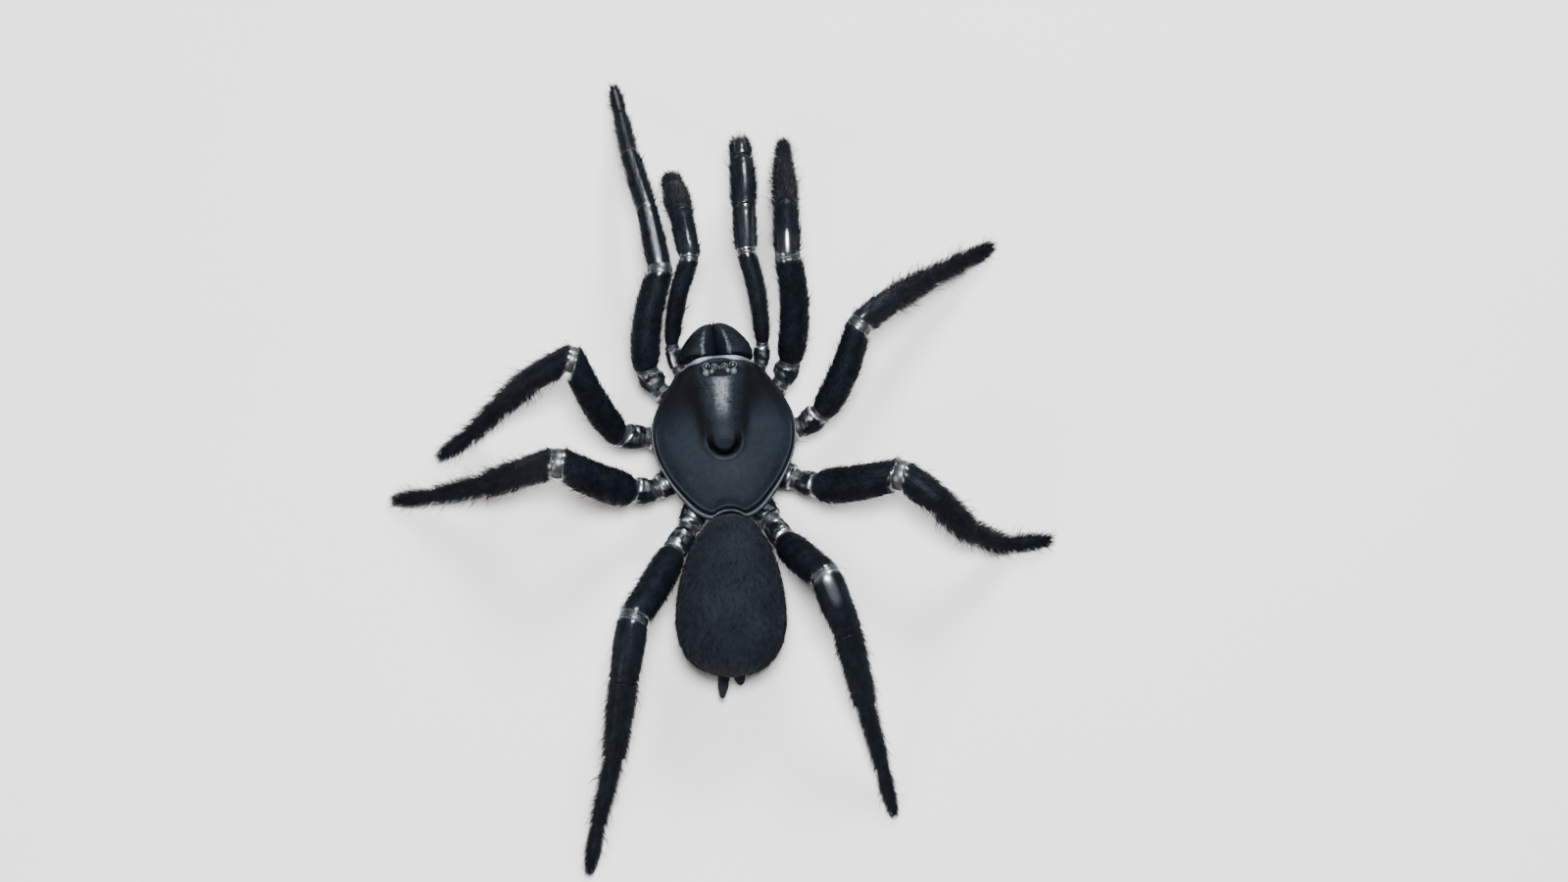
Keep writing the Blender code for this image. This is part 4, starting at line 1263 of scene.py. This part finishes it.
class SPIDER_OT_eyes(bpy.types.Operator):
    """Builds the eight eyes, each in its own raised socket."""

    bl_idname = "spider.eyes"
    bl_label = "Eyes"

    def execute(self, context):
        piece = Piece()
        for x, y, radius, dark in EYES:
            for side in SIDES:
                top = carapace_top(np.array(side * x), np.array(y))
                centre = MIDDLE + np.array((side * x, y, float(top) + radius * 0.12))
                turn = turns(EYE_AROUND)
                rings = [
                    np.column_stack([np.cos(turn) * out, np.sin(turn) * out, np.full_like(turn, up)])
                    for out, up in SOCKET_PROFILE
                ]
                rings = centre + np.array(rings) * radius
                # The socket rims are painted pale in the stripe colour as a painted highlight, more strongly
                # round the larger eyes.
                pale = np.array(SOCKET_HIGHLIGHT)[:, None] * (0.8 if radius > 0.12 else 0.5)
                piece.loft(rings, EYE_SOCKET, bare=0.25, pale=pale)
                size = (radius, radius, radius * 0.8)
                lens = EYE_DARK if dark else EYE_PALE
                piece.ball(centre + UP * radius * 0.08, size, lens, EYE_AROUND, 18)
        finishes = [
            lens_finish("eye_dark", (0.004, 0.004, 0.005), (0.012, 0.011, 0.012)),
            lens_finish("eye_pale", (0.035, 0.034, 0.032), (0.1, 0.098, 0.09)),
            leg_finish(context.scene.spider_limbs),
        ]
        piece.done("eyes", finishes, "carapace_cuticle", ["carapace"])
        return {"FINISHED"}


def chelicera_surface(side, share, turn):
    """Points on one chelicera: share from its root to its tip, turned round it."""
    table = np.array(CHELICERA_STATIONS)
    at = np.linspace(0, 1, 161)
    where = (table[:, 0] - table[0, 0]) / (table[-1, 0] - table[0, 0])
    dense = smoothed(resampled(at, where, table), 10)
    ahead, outer, height, half = (np.interp(share, at, column) for column in dense.T)
    flank, crown = np.cos(turn), np.sin(turn)
    full = (np.abs(flank) ** 2.4 + np.abs(crown) ** 2.4) ** (-1 / 2.4)
    middle = outer * 0.5
    x = middle + flank * full * (outer * 0.5 - 0.008)
    z = height + crown * full * half * np.where(crown > 0, 1.0, 0.96)
    z = z - 0.1 * hump(x, 0.22) * np.clip(crown, 0, 1)
    lean = CHELICERA_LEAN[0] + CHELICERA_LEAN[1] * share
    return np.stack([side * x + lean, side * x * 0.1 * share - ahead, z], axis=-1) + MIDDLE


class SPIDER_OT_chelicerae(bpy.types.Operator):
    """Builds the two chelicerae with their digging spines, and the folded fangs."""

    bl_idname = "spider.chelicerae"
    bl_label = "Chelicerae and fangs"

    def execute(self, context):
        settings = context.scene.spider_limbs
        cuticle = leg_finish(settings)
        horn = fang_finish()
        for side in SIDES:
            piece = Piece()
            share, turn = np.meshgrid(np.linspace(0, 1, 56), turns(56), indexing="ij")
            rings = chelicera_surface(side, share, turn)
            # A pale stripe along each chelicera's crest, where the hair is left out: partly bare paler
            # cuticle and partly a painted highlight.
            stripe = ease((0.25 - np.abs(turn - STRIPE_TURN)) / 0.22) * ease((0.98 - share) / 0.5)
            piece.loft(rings, 0, bare=0.05 + 0.08 * stripe, pale=stripe * 0.62)
            rake = np.random.default_rng(11)
            for row in range(2):
                for step in range(7):
                    at = np.array(0.93 - 0.08 * row)
                    way = np.array(math.radians(-128 + 17 * step + 4 * rake.random()))
                    root = chelicera_surface(side, at, way)
                    out = unit(root - chelicera_surface(side, at - 0.1, way + math.pi))
                    tip = root + out * (0.17 + 0.06 * rake.random()) + np.array((0, -0.03, -0.05))
                    points = [root - out * 0.05, (root + tip) / 2, tip]
                    piece.loft(path_rings(points, (0.05, 0.042, 0.01), 7, 7), 0, bare=1.0)
            name = "chelicera_" + SIDE_NAMES[side]
            piece.done(name + "_shell", [cuticle], "leg_cuticle", [name])
            fang = Piece()
            points = np.array(FANG_POINTS) * np.array((side, 1, 1)) + MIDDLE
            points[:, 0] += CHELICERA_LEAN[0]
            rings = path_rings(points, FANG_RADII, 44, 22, flatness=0.82)
            fang.loft(rings, bare=np.linspace(1, 0, 44)[:, None])
            name = "fang_" + SIDE_NAMES[side]
            fang.done(name + "_horn", [horn], "fang_cuticle", [name])
        return {"FINISHED"}


class SPIDER_OT_underside(bpy.types.Operator):
    """Builds the sternum, the labium and the soft skin between them and the carapace."""

    bl_idname = "spider.underside"
    bl_label = "Underside"

    def execute(self, context):
        plates = Piece()
        sternum = self.plate(STERNUM_HALF, STERNUM_REAR, 0.2, 0.42)
        x, y = sternum[..., 0], sternum[..., 1]
        spots = sum(hump(np.hypot(np.abs(x) - sx, y - sy), 0.13) for sx, sy in self.SIGILLA)
        sternum[..., 2] += 0.04 * spots
        plates.loft(sternum + MIDDLE, pale=np.clip(spots, 0, 1))
        labium = self.plate(LABIUM_HALF, LABIUM_REAR, -2.7, 0.25)
        plates.loft(labium + MIDDLE)
        plates.done("sternum_plates", [ventral_finish()], "ventral_cuticle", ["sternum"])
        skin = Piece()
        levels = [(0.3, 1.45), (0.5, 1.5), (0.66, 1.75), (0.78, 2.2), (0.82, 2.6), (0.84, 3.0), (0.84, 3.2)]
        levels += [(0.7, 3.3), (0.3, 3.4)]
        rings = plate_rings(OUTLINE_HALF, REAR_NOTCH, CARAPACE_MIDDLE_Y, 96, levels)
        skin.loft(rings + MIDDLE)
        finish = membrane_finish(scaled(context.scene.spider_limbs.membrane_colour, 0.4))
        skin.done("body_membrane", [finish], "ventral_cuticle", ["sternum"])
        return {"FINISHED"}

    SIGILLA = ((0.95, -1.25), (1.05, -0.1), (0.8, 1.1))

    def plate(self, half, rear, middle_y, dome):
        def level(x, y, share, reach):
            return STERNUM_BOTTOM + dome * share**3 + 0.03 * hump((1 - share) * reach - 0.1, 0.06)

        shares = np.linspace(0.01, 0.985, 34)
        levels = [(share, level) for share in shares]
        levels += [(1.0, STERNUM_BOTTOM + dome + 0.06), (1.0, STERNUM_BOTTOM + dome + 0.3)]
        levels += [(0.96, STERNUM_TOP - 0.3), (0.8, STERNUM_TOP)]
        return plate_rings(half, rear, middle_y, 96, levels)


def abdomen_surface(share, turn):
    """Points on the abdomen: share from its front to its rear, turned round it."""
    front, rear = np.array(ABDOMEN_FRONT), np.array(ABDOMEN_REAR)
    table = np.array(ABDOMEN_PROFILE)
    at = np.linspace(0, 1, 401)
    dense = smoothed(np.interp(at, *table.T), 60)
    half = np.interp(share, at, dense) * ABDOMEN_HALF_WIDTH
    across, upward = cross_ways(unit(rear - front))
    centre = front + (rear - front) * share[..., None]
    out = across * (np.cos(turn) * half)[..., None]
    out = out + upward * (np.sin(turn) * half * ABDOMEN_HEIGHT_SHARE)[..., None]
    return centre + out + MIDDLE


class SPIDER_OT_abdomen(bpy.types.Operator):
    """Builds the abdomen, its stalk and the spinnerets."""

    bl_idname = "spider.abdomen"
    bl_label = "Abdomen and spinnerets"

    def execute(self, context):
        velvet = velvet_finish(context.scene.spider_abdomen)
        piece = Piece()
        spread = 0.5 - 0.5 * np.cos(np.linspace(0, math.pi, 110))
        share, turn = np.meshgrid(spread, turns(112), indexing="ij")
        rings = abdomen_surface(share, turn)
        piece.loft(rings)
        piece.done("abdomen_skin", [velvet], "abdomen_velvet", ["abdomen"])
        stalk = Piece()
        points = np.array(PEDICEL_POINTS) + MIDDLE
        rings = path_rings(points, PEDICEL_RADII, 30, 32)
        stalk.loft(swollen(rings, 1 + 0.03 * np.cos(np.linspace(0, 26, 30))))
        membrane = membrane_finish(scaled(context.scene.spider_limbs.membrane_colour, 0.35))
        stalk.done("pedicel_skin", [membrane], "ventral_cuticle", ["pedicel"])
        for side in SIDES:
            teat = Piece()
            points = np.array(SPINNERET_POINTS[side]) + MIDDLE
            count = 64
            rings = path_rings(points, SPINNERET_RADII, count, 28)
            step = np.linspace(0, 1, count)
            joints = 1 - 0.14 * (hump(step - 0.42, 0.02) + hump(step - 0.74, 0.02))
            joints = joints * np.sqrt(np.clip(1 - np.clip((step - 0.94) / 0.062, 0, 1) ** 2, 0.02, 1))
            teat.loft(swollen(rings, joints))
            name = "spinneret_" + SIDE_NAMES[side]
            teat.done(name + "_skin", [velvet], "abdomen_velvet", [name])
        return {"FINISHED"}


class SPIDER_OT_legs(bpy.types.Operator):
    """Builds the eight walking legs: shells, joint skin and claws."""

    bl_idname = "spider.legs"
    bl_label = "Walking legs"

    def execute(self, context):
        settings = context.scene.spider_limbs
        finishes = limb_finishes(settings)
        for side in SIDES:
            for number in (1, 2, 3, 4):
                nodes, segments = leg_segments(number, side)
                piece = Piece()
                build_limb(piece, segments)
                claws(piece, segments[-1])
                piece.done(f"leg_{number}_{SIDE_NAMES[side]}", finishes, "leg_cuticle", nodes)
        return {"FINISHED"}


class SPIDER_OT_palps(bpy.types.Operator):
    """Builds the two palps with their bulbs."""

    bl_idname = "spider.palps"
    bl_label = "Palps"

    def execute(self, context):
        settings = context.scene.spider_limbs
        finishes = [*limb_finishes(settings), fang_finish()]
        for side in SIDES:
            nodes, segments, wrist, tip = palp_segments(side)
            piece = Piece()
            build_limb(piece, segments)
            along = unit(wrist - segments[-1].course.line[0])
            centre = wrist + (tip - wrist) * 0.3 + np.array((-side * 0.2, 0, -0.42))
            end = centre - along * 1.1 - UP * 0.25
            points = [centre + along * 0.42, centre + along * 0.2, centre - along * 0.15]
            points += [centre - along * 0.5 - UP * 0.03, centre - along * 0.8 - UP * 0.12, end]
            rings = path_rings(points, (0.05, 0.34, 0.42, 0.22, 0.1, 0.02), 48, 28)
            piece.loft(rings, BULB, bare=np.linspace(0.3, 0, 48)[:, None])
            piece.done(f"palp_{SIDE_NAMES[side]}", finishes, "leg_cuticle", nodes)
        return {"FINISHED"}


class Coat:
    """Gathers hairs for one coat piece. Each hair is a thin bent cone with three sides."""

    CORNERS = np.array(((0, 1, 4), (0, 4, 3), (1, 2, 5), (1, 5, 4), (2, 0, 3), (2, 3, 5)))
    TIPS = np.array(((3, 4, 6), (4, 5, 6), (5, 3, 6), (0, 2, 1)))
    # Where a hair's seven points lie in its own small patch of the unwrap
    PATCH = ((-0.5, -0.5), (0.5, -0.5), (0, -0.5), (-0.4, 0.1), (0.4, 0.1), (0, 0.1), (0, 0.5))

    def __init__(self, seed):
        self.random = np.random.default_rng(seed)
        self.points = []
        self.patches = []

    def add(self, root, outward, lie, length, thickness, lift, patch):
        """Hairs from root points, along lie and lifted off the skin by lift, with a UV patch each."""
        count = len(root)
        rng = self.random
        lie = unit(lie - outward * (lie * outward).sum(-1, keepdims=True))
        sideways = np.cross(outward, lie)
        stray = rng.normal(0, 0.22, (count, 1))
        lie = unit(lie + sideways * stray)
        lift = np.broadcast_to(lift, count)[:, None] * rng.uniform(0.7, 1.35, (count, 1))
        way = unit(lie + outward * lift)
        end_way = unit(lie + outward * lift * 0.35)
        length = np.broadcast_to(length, count)[:, None] * rng.uniform(0.7, 1.25, (count, 1))
        thickness = np.broadcast_to(thickness, count)[:, None]
        length = self.kept_inside(root, way, length)
        middle = root + way * length * 0.5
        tip = middle + end_way * length * 0.5
        side = unit(np.cross(way, outward))
        other = np.cross(way, side)
        points = np.empty((count, 7, 3))
        for corner in range(3):
            turn = corner * 2 * math.pi / 3
            out = side * math.cos(turn) + other * math.sin(turn)
            points[:, corner] = root + out * thickness - outward * thickness
            points[:, corner + 3] = middle + out * thickness * 0.62
        points[:, 6] = tip
        points[..., 2] = np.maximum(points[..., 2], FLOOR_CLEARANCE)
        self.points.append(points)
        self.patches.append(np.broadcast_to(patch, (count, 2)))

    def kept_inside(self, root, way, length):
        """Shortens the hairs that would reach past the model's own box."""
        low = np.array(FRAME_BOX[0]) / MM - BOX_ROOM
        high = np.array(FRAME_BOX[1]) / MM + BOX_ROOM
        with np.errstate(divide="ignore", invalid="ignore"):
            room = np.where(way > 0, (high - root) / way, (low - root) / way)
        room = np.nan_to_num(room, nan=9.0, posinf=9.0, neginf=9.0).min(-1, keepdims=True)
        return np.minimum(length, np.clip(room, 0.02, None))

    def done(self, name, finish, slot, nodes):
        points = np.concatenate(self.points) * MM
        patches = np.concatenate(self.patches)
        count = len(points)
        corners = np.concatenate([self.CORNERS, self.TIPS])
        faces = (corners[None] + 7 * np.arange(count)[:, None, None]).reshape(-1, 3)
        data = bpy.data.meshes.new(name)
        data.vertices.add(count * 7)
        data.vertices.foreach_set("co", points.ravel())
        data.loops.add(faces.size)
        data.loops.foreach_set("vertex_index", faces.ravel())
        data.polygons.add(len(faces))
        data.polygons.foreach_set("loop_start", np.arange(0, faces.size, 3))
        data.update(calc_edges=True)
        patch = (patches[:, None] + np.array(self.PATCH) * PATCH_SIZE).reshape(-1, 2)
        layer = data.uv_layers.new(name="OFBake")
        layer.data.foreach_set("uv", patch[faces.ravel()].ravel())
        data.shade_smooth()
        dress(name, data, [finish], nodes)


PATCH_SIZE = 0.003
BOX_ROOM = np.array((0.6, 0.8, 0.12))


def limb_coat(coat, segments, hairs, length, row, rows):
    """Hairs on every segment of a limb. Their patches lie in one strip of the unwrap, row of rows."""
    looks = HAIR_LOOKS
    areas = np.array([s.length * s.course.half_width.mean() * looks[s.kind][0] for s in segments])
    for index, (segment, share) in enumerate(zip(segments, areas / areas.sum())):
        _, long, lift, thick = looks[segment.kind]
        count = max(int(hairs * share), 8)
        rng = coat.random
        long, lift = long * segment.fur, lift * segment.fur
        margin = min(0.14 if index < 3 else 0.03, segment.length * 0.2) / segment.length
        part = rng.uniform(margin, 1 - margin, count * 2)
        turn = rng.uniform(0, 2 * math.pi, count * 2)
        furry = rng.random(count * 2) > 0.95 * segment.bareness(part * segment.length, turn)
        part, turn = part[furry][:count], turn[furry][:count]
        at = segment.start + part * (segment.end - segment.start)
        swell = segment.swell(part * segment.length, turn)
        root = segment.course.surface(at, turn, swell)
        outward = segment.course.outward(at, turn)
        across = (index + 0.04 + 0.92 * turn / (2 * math.pi)) / len(segments)
        patch = np.column_stack([across, (row + 0.04 + 0.92 * part) / rows])
        bristle = rng.random(len(part)) < BRISTLE_SHARE
        size = np.where(bristle, rng.uniform(1.4, 2.1, len(part)), 1.0)
        rise = np.where(bristle, 2.0, 1.0) * lift
        coat.add(root, outward, segment.course.along, length * long * size, thick * size**1.1, rise, patch)


BRISTLE_SHARE = 0.06
CHELICERA_HAIRS = 2600
CAPUT_BRISTLES = 520
MARGIN_BRISTLES = 620
# Length and root thickness of the abdomen's long and short hairs, and the share of long ones
ABDOMEN_BRISTLE = (0.4, 0.01)
ABDOMEN_HAIR = (0.24, 0.007)
ABDOMEN_BRISTLE_SHARE = 0.08
# Share of the hairs, length, lift off the skin and root thickness for each segment
HAIR_LOOKS = {
    "coxa": (0.25, 0.8, 0.3, 0.008),
    "trochanter": (0.15, 0.6, 0.35, 0.007),
    "femur": (1.0, 0.95, 0.42, 0.009),
    "patella": (0.85, 0.9, 0.42, 0.009),
    "tibia": (1.2, 1.2, 0.62, 0.009),
    "metatarsus": (1.6, 1.2, 0.72, 0.0085),
    "tarsus": (2.1, 1.05, 0.8, 0.008),
}


class SPIDER_OT_coat(bpy.types.Operator):
    """Builds the hair of the legs, palps, chelicerae, abdomen and carapace as solid mesh."""

    bl_idname = "spider.coat"
    bl_label = "Hair"

    def execute(self, context):
        settings = context.scene.spider_coat
        length = settings.length / MM
        black = hair_finish("hair_black", tuple(settings.colour), 0.05)
        grey = hair_finish("hair_charcoal", scaled(settings.colour, 1.3), 0.02, 0.8)
        for side in SIDES:
            for number in (1, 2, 3, 4):
                coat = Coat(40 + side * number)
                nodes, segments = leg_segments(number, side)
                limb_coat(coat, segments, settings.leg_hairs, length, 0, 1)
                coat.done(f"leg_{number}_{SIDE_NAMES[side]}_hair", black, "leg_cuticle", nodes)
        coat = Coat(50)
        nodes = []
        for row, side in enumerate(SIDES):
            palp_nodes, segments, _, _ = palp_segments(side)
            nodes += palp_nodes
            limb_coat(coat, segments, settings.leg_hairs * 0.6, length * 0.85, row, 2)
        coat.done("palp_hair", black, "leg_cuticle", nodes)
        self.chelicera_hair(black, length)
        self.head_hair(black, length)
        self.abdomen_hair(grey, settings.abdomen_hairs)
        return {"FINISHED"}

    def chelicera_hair(self, finish, length):
        coat = Coat(61)
        for row, side in enumerate(SIDES):
            count = CHELICERA_HAIRS
            share = coat.random.uniform(0.03, 0.97, count)
            turn = coat.random.uniform(0, 2 * math.pi, count)
            crest = hump(turn - STRIPE_TURN, 0.22)
            keep = coat.random.random(count) > crest * 0.97
            share, turn = share[keep], turn[keep]
            surface = functools.partial(chelicera_surface, side)
            along, outward = skin_ways(surface, share, turn)
            patch = np.column_stack([0.04 + 0.92 * turn / (2 * math.pi), (row + 0.04 + 0.92 * share) / 2])
            coat.add(surface(share, turn), outward * -side, unit(along), length * 0.85, 0.012, 0.5, patch)
        coat.done("chelicera_hair", finish, "leg_cuticle", ["chelicera_left", "chelicera_right"])

    def head_hair(self, finish, length):
        """Small bristles round the eyes, over the caput and along the carapace's margin."""
        coat = Coat(67)
        rng = coat.random
        x, y = rng.normal(0, 0.75, CAPUT_BRISTLES), rng.uniform(-3.95, 0.2, CAPUT_BRISTLES)
        taken = np.min([np.hypot(np.abs(x) - eye[0], y - eye[1]) - eye[2] for eye in EYES], axis=0) < 0.05
        x, y = x[~taken], y[~taken]
        bearing = rng.uniform(0, 2 * math.pi, MARGIN_BRISTLES)
        picked = CARAPACE_OUTLINE[(bearing / (2 * math.pi) * OUTLINE_POINTS).astype(int)]
        inset = 1 - rng.uniform(0.01, 0.035, MARGIN_BRISTLES)[:, None]
        margin = CARAPACE_MIDDLE + (picked - CARAPACE_MIDDLE) * inset
        x, y = np.concatenate([x, margin[:, 0]]), np.concatenate([y, margin[:, 1]])
        step = 0.01
        top = carapace_top(x, y)
        slope_x = (carapace_top(x + step, y) - top) / step
        slope_y = (carapace_top(x, y + step) - top) / step
        root = np.column_stack([x, y, top]) + MIDDLE
        outward = unit(np.column_stack([-slope_x, -slope_y, np.ones_like(x)]))
        ahead = np.column_stack([x * 0.15, np.full_like(x, -1.0), np.zeros_like(x)])
        out = np.column_stack([x, y, np.zeros_like(x)])
        on_caput = np.arange(len(x)) < len(x) - MARGIN_BRISTLES
        lie = np.where(on_caput[:, None], ahead, unit(out))
        size = length * np.where(on_caput, 0.5, 0.35)
        patch = np.column_stack([0.5 + x / 8, 0.5 + y / 9])
        coat.add(root, outward, lie, size, 0.006, np.where(on_caput, 0.8, 0.5), patch)
        coat.done("carapace_hair", finish, "carapace_cuticle", ["carapace"])

    def abdomen_hair(self, finish, count):
        coat = Coat(71)
        rng = coat.random
        share = rng.uniform(0, 1, count * 3)
        table = np.array(ABDOMEN_PROFILE)
        keep = rng.random(count * 3) < np.interp(share, *table.T)
        share = share[keep][:count]
        turn = rng.uniform(0, 2 * math.pi, len(share))
        share = np.clip(share, 0.012, 0.99)
        root = abdomen_surface(share, turn)
        along, outward = skin_ways(abdomen_surface, share, turn)
        patch = np.column_stack([0.03 + 0.94 * turn / (2 * math.pi), 0.03 + 0.94 * share])
        rise = 0.12 + 0.22 * ease((share - 0.02) / 0.25)
        long = rng.random(len(share)) < ABDOMEN_BRISTLE_SHARE
        rise = np.where(long, rise * 2.2, rise)
        size, thickness = (np.where(long, *pair) for pair in zip(ABDOMEN_BRISTLE, ABDOMEN_HAIR))
        coat.add(root, outward, unit(along), size, thickness, rise, patch)
        coat.done("abdomen_hair", finish, "abdomen_velvet", ["abdomen"])


# Lights: name, place, size, share of the key light's power, colour
LIGHTS = (
    ("key_light", (-8, 12, 200), 55, 1.0, (0.85, 0.93, 1.0)),
    ("side_light", (160, 120, 130), 120, 0.3, (1.0, 0.98, 0.95)),
    ("front_light", (-55, -150, 125), 60, 0.55, (0.88, 0.95, 1.0)),
)
SKY_COLOUR = (0.86, 0.93, 1.0)
SKY_STRENGTH = 0.24


class SPIDER_OT_stage(bpy.types.Operator):
    """Sets up the plain floor, the soft lights and the photograph's camera."""

    bl_idname = "spider.stage"
    bl_label = "Stage"

    def execute(self, context):
        settings = context.scene.spider_stage
        floor_mesh = bmesh.new()
        bmesh.ops.create_grid(floor_mesh, x_segments=1, y_segments=1, size=1.5)
        data = bpy.data.meshes.new("floor")
        floor_mesh.to_mesh(data)
        floor_mesh.free()
        finish = Finish("floor_plain", ior=1.4)
        pale = tuple(settings.floor_colour)
        cloud = finish.noise(14.0, 3.0)
        finish.colour(finish.blend(cloud, scaled(pale, 0.97), scaled(pale, 1.03)))
        finish.roughness(0.85)
        data.materials.append(finish.material)
        placed("floor", data)
        for name, place, size, share, colour in LIGHTS:
            self.light(name, place, size, settings.key_power * share, colour)
        world = bpy.data.worlds.new("soft_daylight")
        world.use_nodes = True
        sky = world.node_tree.nodes["Background"]
        sky.inputs["Color"].default_value = (*SKY_COLOUR, 1.0)
        sky.inputs["Strength"].default_value = SKY_STRENGTH
        context.scene.world = world
        self.camera(context, settings.lens)
        return {"FINISHED"}

    def light(self, name, place, size, power, colour):
        data = bpy.data.lights.new(name, "AREA")
        data.shape = "DISK"
        data.size = size * MM
        data.energy = power
        data.color = colour
        lamp = placed(name, data)
        lamp.location = Vector(place) * MM
        lamp.rotation_euler = (-Vector(place)).to_track_quat("-Z", "Y").to_euler()

    def camera(self, context, lens):
        back = Vector(direction(LEFT, CAMERA_AZIMUTH, CAMERA_ELEVATION))
        right = Vector(direction(LEFT, CAMERA_AZIMUTH + 90, 0))
        upward = back.cross(right)
        target = Vector(CAMERA_TARGET) + Vector(MIDDLE)
        data = bpy.data.cameras.new("camera")
        data.sensor_width = SENSOR_WIDTH
        data.lens = lens
        data.clip_start = 10 * MM
        data.clip_end = 5.0
        camera = placed("camera", data)
        turn = Matrix((right, upward, back)).transposed()
        camera.matrix_world = Matrix.Translation((target + back * CAMERA_DISTANCE) * MM) @ turn.to_4x4()
        context.scene.camera = camera


SETTINGS = {
    "spider_carapace": CarapaceSettings,
    "spider_limbs": LimbSettings,
    "spider_abdomen": AbdomenSettings,
    "spider_coat": CoatSettings,
    "spider_stage": StageSettings,
}
OPERATORS = (
    SPIDER_OT_carapace,
    SPIDER_OT_eyes,
    SPIDER_OT_chelicerae,
    SPIDER_OT_underside,
    SPIDER_OT_abdomen,
    SPIDER_OT_legs,
    SPIDER_OT_palps,
    SPIDER_OT_coat,
    SPIDER_OT_stage,
)


class SPIDER_PT_build(bpy.types.Panel):
    """Lists the spider's pieces and their settings."""

    bl_label = "Trapdoor spider"
    bl_idname = "SPIDER_PT_build"
    bl_space_type = "VIEW_3D"
    bl_region_type = "UI"
    bl_category = "Spider"

    def draw(self, context):
        for name, group in SETTINGS.items():
            box = self.layout.box()
            settings = getattr(context.scene, name)
            for setting in group.__annotations__:
                box.prop(settings, setting)
        for operator in OPERATORS:
            self.layout.operator(operator.bl_idname)


def register():
    for item in (*SETTINGS.values(), *OPERATORS, SPIDER_PT_build):
        bpy.utils.register_class(item)
    for name, group in SETTINGS.items():
        setattr(bpy.types.Scene, name, bpy.props.PointerProperty(type=group))


def unregister():
    for name in SETTINGS:
        delattr(bpy.types.Scene, name)
    for item in reversed((*SETTINGS.values(), *OPERATORS, SPIDER_PT_build)):
        bpy.utils.unregister_class(item)


def main():
    register()
    for operator in OPERATORS:
        group, name = operator.bl_idname.split(".")
        getattr(getattr(bpy.ops, group), name)()


if __name__ == "__main__":
    main()
